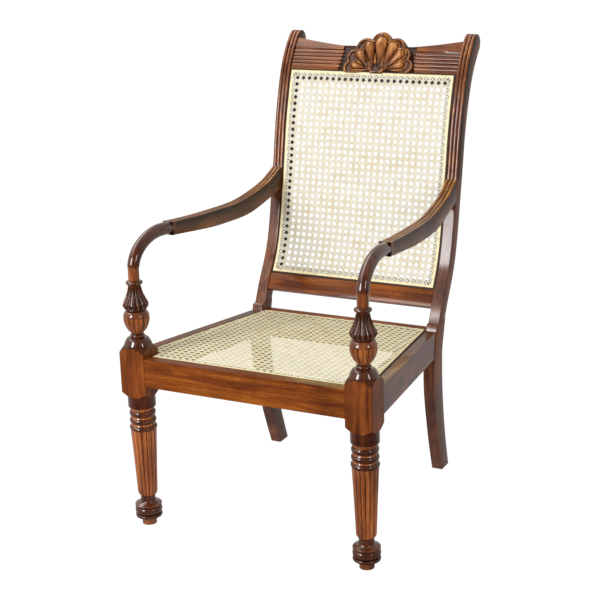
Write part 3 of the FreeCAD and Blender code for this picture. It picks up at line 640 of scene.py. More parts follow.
def squared_block():
    """The square of the post, its corners turned off at both ends."""
    clear_selection()
    bpy.ops.mesh.primitive_cube_add(size=1, location=placed(POST_X, 0, (SQUARE_LOW + SQUARE_HIGH) / 2))
    block = bpy.context.object
    block.name = "post_block"
    block.scale = (HALF_BLOCK * 2 * MM, HALF_BLOCK * 2 * MM, (SQUARE_HIGH - SQUARE_LOW) * MM)
    bpy.ops.object.transform_apply(location=True, rotation=True, scale=True)
    modified(block, "BEVEL", width=1.1 * MM, segments=3, limit_method="ANGLE")
    lathe = Turning(30.2, SQUARE_LOW - 0.5)
    lathe.line(50.0, 19.8).line(50.0, 77.4).line(30.2, 19.8)
    cutter = turned("block_cutter", lathe)
    modified(block, "BOOLEAN", operation="INTERSECT", object=cutter, solver="EXACT")
    bpy.data.objects.remove(cutter)
    paint_light_on_faces(block, block_painted_shade)
    return block


both_sides(squared_block(), "post_block", BLOCKS, "front_post", 25.0)

# Rear legs and stiles

FACE_REEDS, FACE_STEPS = 3, 30
REED_FOOT, REED_DEPTH, REED_RISE = 706.0, 2.6, 7.0
STILE_EASE = 1.4
LEG_TUCK, LEG_TUCK_TOP = 8.0, 300.0
KNEE_ROWS = [(458.5, 315.0, 51.5), (462.5, 332.0, 51.0), (468.0, 356.0, 52.5),
             (LEDGE_Y - 0.2, LEDGE_Z - 1.0, 53.5)]
KNEE_BLEND, KNEE_SWELL = 60.0, 3.0
TIP_SHORT, TIP_RISE, TIP_TURN, TIP_SHRINK = 9.0, 26.0, math.pi * 0.94, 0.03
LEG_RINGS, STILE_RINGS, TIP_RINGS = 24, 66, 16


def reed_profile(place, count):
    """Depth of a row of convex reeds, 0 on a crown and 1 in a quirk."""
    return 1 - arch((place * count) % 1.0 * 2 - 1, 2.4)


def reeded_face(half, ease, cut, full, dark_from, crown_shade):
    """Across a reeded face with rounded arrises: place, distance behind the crowns and shade."""
    for step in range(FACE_STEPS + 1):
        place = step / FACE_STEPS
        edge = min(place, 1 - place) * 2 * half
        dip = reed_profile(place, FACE_REEDS) * cut
        fall = max(dip, ease * (1 - arch(max(0.0, 1 - edge / ease))))
        # Painted shade and glaze in the quirks, painted highlight on the crowns.
        shade = min(1.0, dip / full * 1.1) * 0.9 if dip > dark_from else crown_shade
        yield half * (2 * place - 1), fall, shade


def stile_ring(front, back_way, depth, centre_x, cut):
    """One ring of a stile: a reeded front, eased corners and a plain back."""
    ring = list(reeded_face(STILE_HALF, STILE_EASE, cut, REED_DEPTH, 0.8, -0.5 * cut / REED_DEPTH))
    inner, down = STILE_HALF - STILE_EASE, depth - STILE_EASE
    ring += [(STILE_HALF, down, 0.0), (inner, depth, 0.0), (-inner, depth, 0.0), (-STILE_HALF, down, 0.0)]
    return [(placed(centre_x + x, *(front + back_way * fall)), shade) for x, fall, shade in ring]


def stile_leg():
    """The rear leg and its stile, ring by ring from the floor to the rolled tip."""
    rings = []

    def add(front, back_way, depth, cut=0.0, tuck=0.0):
        rings.append(stile_ring(np.array(front), np.array(back_way), depth, STILE_X - tuck, cut))

    front_line = Curve([(y, z) for y, z, depth in reversed(LEG_ROWS)])
    back_line = Curve([(y + depth, z) for y, z, depth in reversed(LEG_ROWS)])
    for share in (step / LEG_RINGS for step in range(LEG_RINGS + 1)):
        front = front_line(front_line.length * share)
        way = back_line(back_line.length * share) - front
        depth = np.linalg.norm(way)
        add(front, way / depth, depth, tuck=LEG_TUCK * (1 - min(front[1], LEG_TUCK_TOP) / LEG_TUCK_TOP))
    for y, z, depth in KNEE_ROWS:
        add((y, z), (1.0, 0.0), depth)
    add((LEDGE_Y + 1.2, LEDGE_Z + 0.2), (1.0, -0.02), 52.5)
    add((LEDGE_Y + 11.6, LEDGE_Z + 0.6), (1.0, -0.08), 42.5)
    reed_start = STILE.at_height(REED_FOOT)
    reach = STILE.length - TIP_SHORT
    for step in range(1, STILE_RINGS + 1):
        t = reach * step / STILE_RINGS
        front, back = stile_frame(t)
        depth = float(np.interp(t, STILE.at_points, [row[2] for row in STILE_ROWS]))
        cut = REED_DEPTH * min(1.0, max(0.0, (t - reed_start) / REED_RISE)) ** 0.5
        if t < KNEE_BLEND:
            back = np.array([1.0, back[1] * t / KNEE_BLEND])
            back = back / np.linalg.norm(back)
        add(front, back, depth + KNEE_SWELL * max(0.0, 1 - t / KNEE_BLEND), cut)
    tip, back = stile_frame(reach)
    half = back * STILE_ROWS[-1][2] / 2
    up = np.array([-back[1], back[0]])
    for step in range(1, TIP_RINGS + 1):
        angle = TIP_TURN * step / TIP_RINGS
        near = tip + half * (1 - math.cos(angle)) + up * (TIP_RISE * math.sin(angle))
        way = tip + half * (2 - TIP_SHRINK * step / TIP_RINGS) - near
        depth = np.linalg.norm(way)
        cut = REED_DEPTH * min(1.0, (TIP_RINGS + 1 - step) / 4)
        add(near, way / max(depth, 0.1), max(depth, 1.5), cut)
    return shaded("stile_leg", rings)


both_sides(stile_leg(), "stile_leg", UPRIGHT, "rear_leg", 40.0)

# Arms

ARM_TURN = math.atan2(POST_X - STILE_X, 600.0)
ARM_HALF, ARM_EASE, ARM_CUT = 13.5, 1.8, 3.0
# NOSE_SHADE darkens the rounded front end of the board with painted shade and glaze.
NOSE_REACH, NOSE_DROP, NOSE_SHADE = 3.2, 3.0, 0.9
ARM_RINGS, NOSE_RINGS = 72, 4
STEM_FOOT, STEM_RADIUS, STEM_END = 13.1, 14.0, 12.8
BEND_BACK, BEND_RISE = 100.0, 66.0
BEND_HEIGHT = 595.0
STEM_RINGS, STEM_SIDES = 24, 40
ARM_TOP = [(138.0, 673.0), (230.4, 665.8), (332.0, 661.4), (415.2, 661.0), (493.7, 671.7), (558.4, 688.4),
           (600.0, 708.0)]
ARM_LOW = [(138.0, 642.0), (211.9, 633.9), (299.7, 625.0), (369.0, 622.0), (456.8, 623.5), (526.1, 636.8),
           (600.0, 653.8)]


def on_arm(x, y, z):
    """A point of an arm drawn straight back, turned in towards the stile."""
    c, s = math.cos(ARM_TURN), math.sin(ARM_TURN)
    return placed(POST_X + x * c - y * s, x * s + y * c, z)


def arm_board():
    """The swept board, its top in three reeds and its front end rounded over."""
    top, low = Curve(ARM_TOP), Curve(ARM_LOW)
    rings = []
    for step in range(-NOSE_RINGS, ARM_RINGS + 1):
        share = max(step, 0) / ARM_RINGS
        high = top(top.length * share)
        foot = low(low.length * share)
        if step < 0:
            nose = -step / (NOSE_RINGS + 1)
            ahead = -NOSE_REACH * arch(nose)
            high = high + np.array([ahead, -NOSE_DROP * nose ** 2])
            foot = foot + np.array([ahead, NOSE_DROP * nose ** 2])
        way = top.along(top.length * share)
        down = np.array([way[1], -way[0]])
        cut = ARM_CUT * min(1.0, max(0, step) / 2.0)
        ring = [(on_arm(x, *(high + down * fall)), shade)
                for x, fall, shade in reeded_face(ARM_HALF, ARM_EASE, cut, ARM_CUT, 0.9, -0.6)]
        for side, inward, up in ((1, 0.0, 2.2), (1, 0.6, 0.8), (1, 1.9, 0.0), (-1, 1.9, 0.0), (-1, 0.6, 0.8),
                                 (-1, 0.0, 2.2)):
            ring.append((on_arm(side * (ARM_HALF - inward), foot[0], foot[1] + up), 0.0))
        rings.append([(point, NOSE_SHADE) for point, shade in ring] if step < 0 else ring)
    return shaded("arm_board", rings)


def arm_stem():
    """The round stem, from the post up and back into the board."""
    path = [(0.0, STEM_LOW, 0.0), (0.0, STEM_LOW + 1.0, 0.0), (0.0, BEND_HEIGHT, 0.0)]
    for step in range(1, STEM_RINGS + 1):
        turn = math.radians(90.0) * step / STEM_RINGS
        path.append((BEND_BACK * (1 - math.cos(turn)), BEND_HEIGHT + BEND_RISE * math.sin(turn),
                     math.atan2(BEND_BACK * math.sin(turn), BEND_RISE * math.cos(turn))))
    for y, drop in ((118.0, 0.8), (131.5, 2.2), (137.0, 2.8), (151.0, 4.2)):
        path.append((y, BEND_HEIGHT + BEND_RISE - drop, math.radians(95.0)))
    rings = []
    for number, (y, z, angle) in enumerate(path):
        share = max(0.0, number - 2) / (len(path) - 3)
        in_band = z < BAND_TOP and y < 5.0
        radius = BAND_RADIUS if in_band else STEM_FOOT + (STEM_RADIUS - STEM_FOOT) * share
        if y > 135.0:
            radius = STEM_END
        ring = []
        for turn in turns(STEM_SIDES):
            x, out = radius * math.cos(turn), (radius + 0.6 * share) * math.sin(turn)
            point = on_arm(x, y + out * math.cos(angle), z - out * math.sin(angle))
            ring.append((point, BAND_SHADE if in_band else 0.0))
        rings.append(ring)
    return shaded("arm_stem", rings)


both_sides(arm_board(), "arm_board", ALONG, "arm", 40.0)
both_sides(arm_stem(), "arm_stem", TURNED_SHADED_DARK, "arm", 40.0)

# Crest rail

CREST_HALF = 219.0
BED_LOW, BED_HIGH = -83.0, 103.0
BED_SPREAD, BED_DEPTH = 7.0, 4.5
CREST_FOOT = STILE.at_height(945.0)
CREST_REEDS, CREST_PITCH, CREST_CUT = 5, 9.5, 2.9
CREST_BAND, CREST_SET = 5.2, 4.0
CREST_DIP, CREST_MIDDLE, CREST_LIFT = 88.0, 1000.5, 16.0
TOOTH = 9.0
END_COLUMNS, REEDING_ROWS = 14, 60


def crest_top(x):
    """Height of the dipping top edge at its front."""
    share = max(0.0, abs(x) - CREST_DIP) / (CREST_HALF - CREST_DIP)
    return CREST_MIDDLE + CREST_LIFT * share * (0.72 + 0.28 * share)


def crest_rows(top):
    """Up the front of the crest: place on the stile's line, depth of the reeding and reach of a tooth, both
    as shares."""
    foot = CREST_FOOT + CREST_BAND
    reeded = CREST_REEDS * CREST_PITCH
    rows = [(CREST_FOOT + CREST_BAND * k / 3, 0.0, 0.5) for k in range(4)]
    for share in (k / REEDING_ROWS for k in range(1, REEDING_ROWS + 1)):
        tooth = 1 - abs((share * CREST_REEDS) % 1.0 * 2 - 1)
        rows.append((foot + reeded * share, reed_profile(share, CREST_REEDS), tooth))
    rows += [(foot + reeded + (top - foot - reeded) * k / 6, 0.0, 0.3) for k in range(1, 7)]
    return rows


def crest_rail():
    """The rail as rings from end to end, its reeds stopping in points at the sunk bed."""
    shares = [k / END_COLUMNS for k in range(END_COLUMNS + 1)]
    left = [(-CREST_HALF + (BED_LOW + CREST_HALF) * share, 0.0, False) for share in shares[:-1]]
    right = [(BED_HIGH + (CREST_HALF - BED_HIGH) * share, 0.0, False) for share in shares[1:]]
    bed = [(BED_LOW, 1.0, False), (BED_LOW + 0.8, 1.0, True), (BED_LOW + TOOTH, 0.0, True),
           (-30.0, 0.0, True), (40.0, 0.0, True),
           (BED_HIGH - TOOTH, 0.0, True), (BED_HIGH - 0.8, -1.0, True), (BED_HIGH, -1.0, False)]
    rings = []
    for x, jag, in_bed in left + bed + right:
        top = STILE.at_height(crest_top(x))
        ring = []
        for t, dip, tooth in crest_rows(top):
            y, z = behind(t, CREST_SET + (BED_DEPTH if in_bed else dip * CREST_CUT))
            spread = BED_SPREAD * (1 - (t - CREST_FOOT) / (top - CREST_FOOT))
            # Painted shade and glaze darken the sunk bed and the quirks, and a faint painted highlight
            # lightens the rest.
            shade = 0.97 if in_bed else min(1.0, dip * 1.15) * 0.93 if dip > 0.3 else -0.12
            ring.append((placed(x + jag * (TOOTH * (tooth - 0.5) - spread), y, z), shade))
        for t, depth in ((top + 1.2, 5.4), (top + 1.6, 8.0), (top + 1.4, 23.0), (top, 25.0),
                         (CREST_FOOT + 30, 26.0), (CREST_FOOT + 1.0, 26.0), (CREST_FOOT, 25.0)):
            ring.append((placed(x, *behind(min(t, STILE.length), depth)), 0.0))
        rings.append(ring)
    return shaded("crest_moulded", rings)


keep(crest_rail(), CRESTED, "crest_rail", angle=35.0)

# Carved shell

# Root, tip, root radius and tip radius of each petal
PETALS = [
    (4.0, 7.5, -1.8, 82.0, 3.4, 16.8),
    (-13.4, 7.0, -33.4, 68.2, 2.6, 13.8), (17.0, 8.5, 35.0, 68.8, 2.6, 13.6),
    (-25.0, 3.0, -56.3, 43.0, 2.4, 11.8), (27.0, 6.0, 62.0, 46.5, 2.4, 12.0),
    (-27.0, -1.0, -67.0, 6.0, 2.2, 8.6), (28.0, -0.5, 70.0, 11.0, 2.2, 8.8),
]
# Angle, reach and radius of each lobe of the rim
LOBES = [
    (91.0, 94.0, 25.0), (126.5, 91.0, 24.5), (55.0, 91.5, 24.5), (157.0, 90.0, 18.5), (29.5, 90.5, 18.5),
    (180.0, 88.0, 18.0), (5.5, 92.5, 18.0),
]
SHELL_X, HEART = 14.5, 2.0
SHELL_T = STILE.at_height(975.0)
GROUND = 4.4
HEART_RADIUS, HEART_HEIGHT = 13.0, 7.0


def petal_distance(u, v):
    """Distance to the nearest petal's edge, less than zero inside, and how far out along it."""
    best = (1e9, 0.0, 1.0)
    for root_u, root_v, tip_u, tip_v, narrow, tip in PETALS:
        length = math.hypot(tip_u - root_u, tip_v - root_v)
        c, s = (tip_u - root_u) / length, (tip_v - root_v) / length
        along = (u - root_u) * c + (v - root_v) * s
        across = abs((v - root_v) * c - (u - root_u) * s)
        end = length - tip
        share = min(1.0, max(0.0, along / end))
        radius = narrow + (tip - narrow) * share ** 0.85
        distance = math.hypot(along - end * share, across) - radius
        if distance < best[0]:
            best = (distance, share, radius)
    return best


def rim_reach(angle):
    """How far the scalloped outline lies from the heart."""
    reach = 20.0
    for lobe, outer, radius in LOBES:
        turn = angle - math.radians(lobe)
        centre = outer - radius
        side = centre * math.sin(turn)
        if math.cos(turn) > 0 and abs(side) < radius:
            reach = max(reach, centre * math.cos(turn) + math.sqrt(radius ** 2 - side ** 2))
    fall = math.sin(angle)
    return min(reach, 13.0 / -fall) if fall < -0.12 else reach


def mound(place, middle, half, height):
    return height * arch((place - middle) / half)


def shell_height(u, v, room):
    """Height of the carving above its ground and how dark its painted shade and glaze lie, below zero how
    bright its painted highlight, given the room to the outline.
    """
    # Petals and beads get a painted highlight on their crowns and painted shade at their edges, in the
    # grooves and towards the heart.
    distance, share, radius = petal_distance(u, v)
    if distance < 0:
        crown = arch(1 + distance / radius)
        shade = 0.9 if distance > -1.0 else 0.45 * (1 - share) - 0.85 * crown ** 2 * share
        return 5.0 + (2.5 + 8.5 * share ** 0.8) * crown, shade
    if distance < 4.6:
        outline = mound(distance, 2.5, 1.9, 4.6)
        return GROUND + outline, -1.0 if outline > 3.0 else 0.95
    band = mound(room, 4.0, 4.2, 5.8)
    return GROUND + max(band, 1.2), -0.3 if band > 3.8 else 0.9 if room < 9.0 else 0.6


def shell_frame():
    """Places the carving's own plane on the crest."""
    back = stile_frame(SHELL_T)[1]
    up = np.array([-back[1], back[0]])
    centre = behind(SHELL_T, 7.0) - up * (30.0 - HEART)

    def place(u, v, out):
        return placed(u + SHELL_X, *(centre + up * v - back * out))

    return place


shell_at = shell_frame()


def carved_shell():
    """The shell, drawn in rings from its heart to its rim and back under the rim."""
    outwards = 60
    rings = [[] for _ in range(outwards + 4)]
    for angle in turns(330):
        c, s = math.cos(angle), math.sin(angle)
        reach = rim_reach(angle)
        for k in range(outwards):
            radius = 0.4 + (reach - 0.4) * k / (outwards - 1)
            high, shade = shell_height(radius * c, radius * s, reach - radius)
            # The heart gets an even painted shade.
            if radius < HEART_RADIUS:
                high, shade = max(high, HEART_HEIGHT), 0.75
            rings[k].append((shell_at(radius * c, radius * s, high), shade))
        # The underside of the rim gets painted shade.
        under = ((0.5, 2.5), (0.5, -3.0), (-0.5, -3.2), (-6.0, -3.2))
        for ring, (grow, out) in zip(rings[outwards:], under):
            radius = reach + grow
            deep = out - (10.0 if s * radius > 45.0 and out < 0 else 0.0)
            ring.append((shell_at(radius * c, radius * s, deep), 0.5))
    return shaded("shell_carving", rings)


def volute(centre_u, turn, name):
    """A small rolled scroll at the root of the shell."""
    rings = []
    for share in (step / 59 for step in range(60)):
        angle = math.pi / 2 + turn * share * 3.4 * math.pi
        thick = 2.0 * (1 - 0.6 * share)
        ring = []
        for around in turns(10):
            radius = 8.0 * (1 - share) + 1.2 + thick * math.cos(around)
            ring.append(shell_at(centre_u + radius * math.cos(angle), 3.5 + radius * math.sin(angle),
                                 8.5 + thick * math.sin(around) + 2.0 * share))
        rings.append(ring)
    return skinned(name, rings)


def pendant():
    """The drop that hangs between the scrolls."""
    rings = []
    for share in (step / 13 for step in range(14)):
        wide = 4.6 * math.sin(math.pi * (0.08 + 0.90 * share)) ** 0.8
        rings.append([shell_at(wide * math.cos(angle), 3.0 - 15.0 * share, 5.5 + 0.8 * wide * math.sin(angle))
                      for angle in turns(14)])
    return skinned("shell_pendant", rings)


keep(carved_shell(), CARVED, "crest_shell", angle=50.0)
keep(volute(-18.0, 1, "shell_volute_left"), CARVED, "crest_shell")
keep(volute(18.5, -1, "shell_volute_right"), CARVED, "crest_shell")
keep(pendant(), CARVED, "crest_shell")

# Straight timber


def rail_top_highlight(normal):
    """Painted highlight on the tops of the seat rails, where they catch the light."""
    return -1.0 if normal.z > 0.9 else 0.0


def straight_timber(node, material, width):
    piece = eased(node, width)
    if "seat_rail" in node:
        paint_light_on_faces(piece, rail_top_highlight)
    keep(piece, material, node, body="seat" if "seat_frame" in node else "frame", angle=25.0)


for stem, ends, material, width in (
    ("front_seat_rail", ("",), CROSS, 1.2),
    ("back_seat_rail", ("",), CROSS, 1.0),
    ("lower_back_rail", ("",), CROSS, 1.4),
    ("side_seat_rail", SIDES, SIDE_RAIL, 1.2),
    ("back_frame", ("_top", "_bottom"), FRAME_ACROSS, 0.8),
    ("back_frame", SIDES, FRAME_UP, 0.8),
    ("corner_block_front", SIDES, GLUE_BLOCK, 1.0),
    ("corner_block_back", SIDES, GLUE_BLOCK, 1.0),
    ("seat_frame", ("_front", "_back"), FRAME_ACROSS, 1.0),
    ("seat_frame", SIDES, FRAME_ALONG, 1.0),
):
    for end in ends:
        straight_timber(stem + end, material, width)
for node, material in (("back_panel_dowels", GLUE_BLOCK), ("corner_block_screws", STEEL),
                       ("arm_screws", STEEL), ("arm_screw_plugs", UPRIGHT)):
    cad = frame["nodes"][node]
    cad.data.materials.clear()
    cad.data.materials.append(material)

# Cane

PITCH = 15.875
PAIR = 1.6
STRAND_WIDE, STRAND_THICK, STRAND_STEP = 3.0, 0.5, 5.3
STRAND_LOW, STRAND_SHORTEST = 0.6, 3.0
BINDER_WIDE, BINDER_STEP = 6.5, 9.0
# How high each kind of strand lies and how far it waves
WAVE = {"upright": (0.0, 0.30), "level": (0.0, -0.30), "rising": (0.75, 0.25), "falling": (0.95, -0.25),
        "corner": (0.3, 0.0)}


def sides_of(outline):
    return zip(outline, outline[1:] + outline[:1])


def clipped(point, way, outline):
    """The stretches of a line that lie inside a flat outline."""
    cuts = []
    for start, end in sides_of(outline):
        edge = (end[0] - start[0], end[1] - start[1])
        cross = way[0] * edge[1] - way[1] * edge[0]
        if abs(cross) < 1e-9:
            continue
        gap = (start[0] - point[0], start[1] - point[1])
        along_edge = (gap[0] * way[1] - gap[1] * way[0]) / cross
        if 0 <= along_edge < 1:
            cuts.append((gap[0] * edge[1] - gap[1] * edge[0]) / cross)
    cuts.sort()
    return [(low, high) for low, high in zip(cuts[::2], cuts[1::2]) if high - low > STRAND_SHORTEST]


def paired(low, high, pitch, middle, offset):
    """Places of strands that run two by two between the rows of holes, with the side that each lies on."""
    for k in range(math.floor(low / pitch) - 1, math.ceil(high / pitch) + 1):
        place = middle + (k + offset) * pitch
        if low + 0.75 * pitch < place < high - 0.75 * pitch:
            for side in (-PAIR, PAIR):
                yield place + side, side


def strand_lines(outline, kind, pitch_x, pitch_y, middle):
    """A point, the way and the side of every strand of one kind. Diagonals pass between the pairs, and the
    rows of holes themselves have no pair."""
    xs, ys = zip(*outline)
    if kind == "upright":
        return [((x, 0.0), (0.0, 1.0), side) for x, side in paired(min(xs), max(xs), pitch_x, middle, 0.5)]
    if kind == "level":
        return [((0.0, y), (1.0, 0.0), side) for y, side in paired(min(ys), max(ys), pitch_y, 0.0, 0.0)]
    slope = pitch_y / pitch_x * (1 if kind == "rising" else -1)
    length = math.hypot(1.0, slope)
    reach = int((max(xs) - min(xs)) / pitch_x + (max(ys) - min(ys)) / pitch_y) + 3
    return [((middle + k * pitch_x, 0.0), (1.0 / length, slope / length), 0.0) for k in range(-reach, reach)]


def corner_lines(outline, pitch):
    """One short strand from each corner hole to the first crossing."""
    lines = []
    xs, ys = zip(*outline)
    centre_x, centre_y = sum(xs) / len(xs), sum(ys) / len(ys)
    half = math.sqrt(0.5)
    for x, y in outline:
        way = (math.copysign(half, centre_x - x), math.copysign(half, centre_y - y))
        if abs(y - centre_y) * 2.2 > max(ys) - min(ys) - 4 * pitch:
            lines.append(((x, y), way, 0.0))
    return lines


def add_ribbon(mesh, rows):
    """Joins rows of four points into one closed ribbon."""
    before = None
    for points in rows:
        row = [mesh.verts.new(point) for point in points]
        if before:
            for a in range(4):
                b = (a + 1) % 4
                mesh.faces.new((before[a], before[b], row[b], row[a]))
        else:
            mesh.faces.new(row)
        before = row
    mesh.faces.new(list(reversed(before)))


def from_ribbons(name, ribbons):
    """One piece of many ribbons."""
    drawn = bmesh.new()
    for rows in ribbons:
        add_ribbon(drawn, rows)
    bmesh.ops.recalc_face_normals(drawn, faces=drawn.faces)
    mesh = bpy.data.meshes.new(name)
    drawn.to_mesh(mesh)
    drawn.free()
    return added(name, mesh)


def strands(outline, kind, surface, pitch_x, pitch_y, middle):
    """All strands of one kind as flat ribbons that rise and dip over each other."""
    lift, swing = WAVE[kind]
    at_corner = kind == "corner"
    if at_corner:
        lines = corner_lines(outline, pitch_x)
    else:
        lines = strand_lines(outline, kind, pitch_x, pitch_y, middle)
    for (x0, y0), (wx, wy), side in lines:
        for low, high in [(0.0, pitch_x)] if at_corner else clipped((x0, y0), (wx, wy), outline):
            count = max(2, int((high - low) / STRAND_STEP))
            rows = []
            for k in range(count + 1):
                t = low + (high - low) * k / count
                x, y = x0 + wx * t, y0 + wy * t
                phase = 2 * math.pi * (y / pitch_y if kind == "upright" else x / pitch_x)
                level = STRAND_LOW + lift + swing * math.cos(phase) * (1 if side >= 0 else -1)
                rows.append([surface(x - wy * STRAND_WIDE * across, y + wx * STRAND_WIDE * across,
                                     level + STRAND_THICK * up)
                             for across, up in ((-0.5, 0.0), (-0.32, 0.8), (0.32, 0.8), (0.5, 0.0))])
            yield rows


def inset(outline, distance):
    """The outline moved inwards by the same distance on every side."""
    count = len(outline)
    area = sum(a[0] * b[1] - b[0] * a[1] for a, b in sides_of(outline))
    turn = 1 if area > 0 else -1
    moved = []
    for k in range(count):
        before, here, after = outline[k - 1], outline[k], outline[(k + 1) % count]
        first = Vector((here[0] - before[0], here[1] - before[1])).normalized()
        second = Vector((after[0] - here[0], after[1] - here[1])).normalized()
        one = Vector((-first.y, first.x)) * turn * distance
        two = Vector((-second.y, second.x)) * turn * distance
        bisector = one + two
        scale = 2 * distance ** 2 / max(bisector.length_squared, 1e-9)
        moved.append((here[0] + bisector.x * scale, here[1] + bisector.y * scale))
    return moved


def binder_strip(name, outline, surface, lift):
    """The flat binder over the holes, crowned across its width."""
    rings = []
    shares, ups = (0.0, 0.12, 0.5, 0.88, 1.0), (0.0, 0.8, 1.1, 0.8, 0.0)
    lines = [list(sides_of(inset(outline, BINDER_WIDE * share))) for share in shares]
    for k, (a, b) in enumerate(sides_of(outline)):
        parts = max(1, int(math.hypot(b[0] - a[0], b[1] - a[1]) / BINDER_STEP))
        for share in (part / parts for part in range(parts)):
            ring = []
            for line, up in zip(lines, ups):
                (x, y), (end_x, end_y) = line[k]
                ring.append(surface(x + (end_x - x) * share, y + (end_y - y) * share, lift + up))
            rings.append(ring)
    rings.append(rings[0])
    return skinned(name, rings, tips=False)


def ties(outline, surface, lift, pitch):
    """Short loops of cane that tie the binder down at every second hole."""
    for a, b in sides_of(inset(outline, BINDER_WIDE / 2)):
        length = math.hypot(b[0] - a[0], b[1] - a[1])
        wx, wy = (b[0] - a[0]) / length, (b[1] - a[1]) / length
        number = int(length / pitch)
        for part in range(number):
            t = length * (part + 0.5) / number
            rows = []
            for share, up in ((-0.52, 0.0), (-0.40, 1.3), (0.0, 1.75), (0.40, 1.3), (0.52, 0.0)):
                x = a[0] + wx * t - wy * BINDER_WIDE * share
                y = a[1] + wy * t + wx * BINDER_WIDE * share
                rows.append([surface(x + wx * side, y + wy * side, lift + up - sunk)
                             for side, sunk in ((-1.1, 0.0), (1.1, 0.0), (1.1, 0.35), (-1.1, 0.35))])
            yield rows


def on_seat(x, y, up):
    """A point of the seat's sloping plane, drawn level from the front rail."""
    dy, dz = y - RAIL_FACE_Y, up - 1.0
    c, s = math.cos(SEAT_SLOPE), math.sin(SEAT_SLOPE)
    return placed(x, RAIL_FACE_Y + dy * c + dz * s, SEAT_FRONT - dy * s + dz * c)


# Notch round the block, widest place and back corner of the right half of the seat's inner field
NOTCH_X, FIELD_FRONT, NOTCH_BACK = 237.85, -3.23, 33.57
FIELD_WIDE, FIELD_NARROW, FIELD_BACK = 273.0, 213.5, 484.5
seat_half = [(NOTCH_X, FIELD_FRONT), (NOTCH_X, NOTCH_BACK), (FIELD_WIDE, NOTCH_BACK),
             (FIELD_NARROW, FIELD_BACK)]
seat_outline = seat_half + [(-x, y) for x, y in reversed(seat_half)]
seat_edge = inset(seat_outline, 3.0)
seat_holes = inset(seat_outline, 6.2)

PANEL_START = STILE.at_height(PANEL_LOW)
back_length = STILE.at_height(PANEL_HIGH) - PANEL_START
back_outline = [(-PANEL_HALF, 0.0), (PANEL_HALF, 0.0), (PANEL_HALF, back_length), (-PANEL_HALF, back_length)]
back_edge = inset(back_outline, 4.0)
back_holes = inset(back_outline, 7.2)
back_wide = back_holes[1][0] * 2
back_high = back_holes[2][1] - back_holes[0][1]
back_pitch_x = back_wide / round(back_wide / PITCH)
back_pitch_y = back_high / round(back_high / PITCH)
half_odd = 0.0 if round(back_wide / PITCH) % 2 == 0 else back_pitch_x / 2


def on_back(x, s, up):
    """A point in front of the curved back panel, s up along its curve."""
    return placed(x, *behind(PANEL_START + s, 2.0 - up))


def counted_from_holes(holes, surface, pitch):
    """The line of holes and the surface, both counted up from the first row of openings."""
    def laid(x, y, up):
        return surface(x, y + holes[0][1] + pitch / 2, up)

    return [(x, y - holes[0][1] - pitch / 2) for x, y in holes], laid


back_area, back_surface = counted_from_holes(back_holes, on_back, back_pitch_y)
seat_area, seat_surface = counted_from_holes(seat_holes, on_seat, PITCH)
for kind in WAVE:
    back = strands(back_area, kind, back_surface, back_pitch_x, back_pitch_y, half_odd)
    keep(from_ribbons("back_cane_" + kind, back), BACK_CANE_DIMMED, "back_cane", angle=60.0)
    seat = strands(seat_area, kind, seat_surface, PITCH, PITCH, 0.0)
    keep(from_ribbons("seat_cane_" + kind, seat), SEAT_CANE_PALER_LIT, "seat_cane", body="seat", angle=60.0)
BORDERS = (("back", "frame", back_edge, on_back, BACK_CANE_DIMMED), ("seat", "seat", seat_edge, on_seat, SEAT_CANE_PALER_LIT))
for name, body, edge, surface, cane in BORDERS:
    strip = binder_strip(name + "_binder_strip", edge, surface, 1.2)
    keep(strip, BINDER, name + "_cane_binder", body=body)
for name, body, edge, surface, cane in BORDERS:
    loops = from_ribbons(name + "_binder_ties", ties(edge, surface, 1.6, PITCH * 2))
    keep(loops, cane, name + "_cane_binder", body=body)

# Floor, light and camera

TO_VIEWER = (0.455, -0.89, 0.0)
FOCAL_PIXELS, PICTURE_PIXELS = 1380.4, 600.0
SENSOR = 36.0
EYE = (1349.9, -2388.3, 1386.9)
YAW, PITCH_DOWN, ROLL = math.radians(27.05), math.radians(16.9), math.radians(-1.71)


def chosen(tree, switch, plain, other):
    return made(tree, "MixShader", {0: switch, 1: plain.outputs[0], 2: other.outputs[0]})


def surfaced(tree, output, spread, mirrored, seen):
    """Gives a floor or world one shader for spread light, one for polished wood and one for the eye."""
    path = made(tree, "LightPath", {}).outputs
    far = chosen(tree, path["Is Glossy Ray"], spread, mirrored)
    eye = reckoned(tree, "MAXIMUM", path["Is Camera Ray"], path["Is Transmission Ray"])
    made(tree, output, {"Surface": chosen(tree, eye, far, seen).outputs[0]})


def grey(level):
    return (level, level, level, 1.0)


def floor():
    """A pale floor. In polished wood it looks darker towards the viewer."""
    clear_selection()
    bpy.ops.mesh.primitive_plane_add(size=14.0, location=(0, 0, -0.0005))
    ground = bpy.context.object
    ground.name = "floor"
    material, tree = new_material("pale_floor")
    tree.nodes.clear()
    matt = made(tree, "BsdfDiffuse", {"Color": grey(0.80)})
    faint = made(tree, "BsdfDiffuse", {"Color": grey(0.10)})
    glow = made(tree, "Emission", {"Strength": 0.97})
    seen = made(tree, "AddShader", {0: faint.outputs[0], 1: glow.outputs[0]})
    dimmed = eased_range(tree, measured(tree, on_piece(tree), TO_VIEWER), -0.3, 0.9, 0.5, 0.05)
    surfaced(tree, "OutputMaterial", matt, made(tree, "Emission", {"Strength": dimmed}), seen)
    ground.data.materials.append(material)


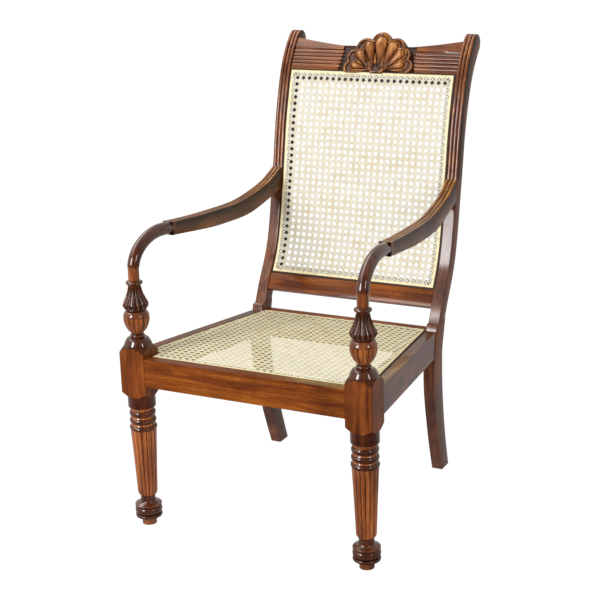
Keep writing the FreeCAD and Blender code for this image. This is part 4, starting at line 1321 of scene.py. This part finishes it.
def daylight():
    """White all round for the eye. For polished wood dimmer behind the viewer, with a bright patch high up
    on the left."""
    world = bpy.data.worlds.new("studio")
    bpy.context.scene.world = world
    world.use_nodes = True
    tree = world.node_tree
    tree.nodes.clear()
    way = made(tree, "TexCoord", {}).outputs["Generated"]
    parts = made(tree, "SeparateXYZ", {0: way}).outputs
    patch = reckoned(tree, "MULTIPLY", eased_range(tree, parts["X"], -0.43, -0.38, 4.6, 0.0),
                     eased_range(tree, parts["Z"], 0.58, 0.70, 0.0, 1.0))
    around = eased_range(tree, measured(tree, way, TO_VIEWER), -0.1, 0.6, 0.64, 0.06)
    strength = reckoned(tree, "MAXIMUM", around, patch)
    soft = made(tree, "Background", {"Color": grey(1.0), "Strength": 0.59})
    mirrored = made(tree, "Background", {"Color": (1.0, 0.95, 0.90, 1.0), "Strength": strength})
    bright = made(tree, "Background", {"Color": grey(1.0), "Strength": 1.02})
    surfaced(tree, "OutputWorld", soft, mirrored, bright)


def lamp(name, place, target, size, power):
    light = bpy.data.lights.new(name, "AREA")
    light.shape = "RECTANGLE"
    light.size, light.size_y = size
    light.energy = power
    holder = added(name, light)
    holder.location = place
    holder.rotation_euler = (Vector(target) - Vector(place)).to_track_quat("-Z", "Y").to_euler()


def camera():
    data = bpy.data.cameras.new("camera")
    data.sensor_width = SENSOR
    data.lens = SENSOR * FOCAL_PIXELS / PICTURE_PIXELS
    holder = added("camera", data)
    level = math.cos(PITCH_DOWN)
    ahead = Vector((-math.sin(YAW) * level, math.cos(YAW) * level, -math.sin(PITCH_DOWN)))
    right = Vector((math.cos(YAW), math.sin(YAW), 0.0))
    up = right.cross(ahead)
    side = right * math.cos(ROLL) + up * math.sin(ROLL)
    top = up * math.cos(ROLL) - right * math.sin(ROLL)
    turn = Matrix((side, top, -ahead)).transposed()
    holder.matrix_world = Matrix.Translation(placed(*EYE)) @ turn.to_4x4()
    bpy.context.scene.camera = holder


floor()
daylight()
lamp("left_lamp", (-0.95, -2.5, 1.5), (0, 0, 0.6), (0.6, 1.2), 52.0)
lamp("right_lamp", (2.5, -1.3, 1.6), (0, 0, 0.5), (0.3, 1.1), 15.0)
camera()
bpy.context.scene.view_settings.view_transform = "Standard"
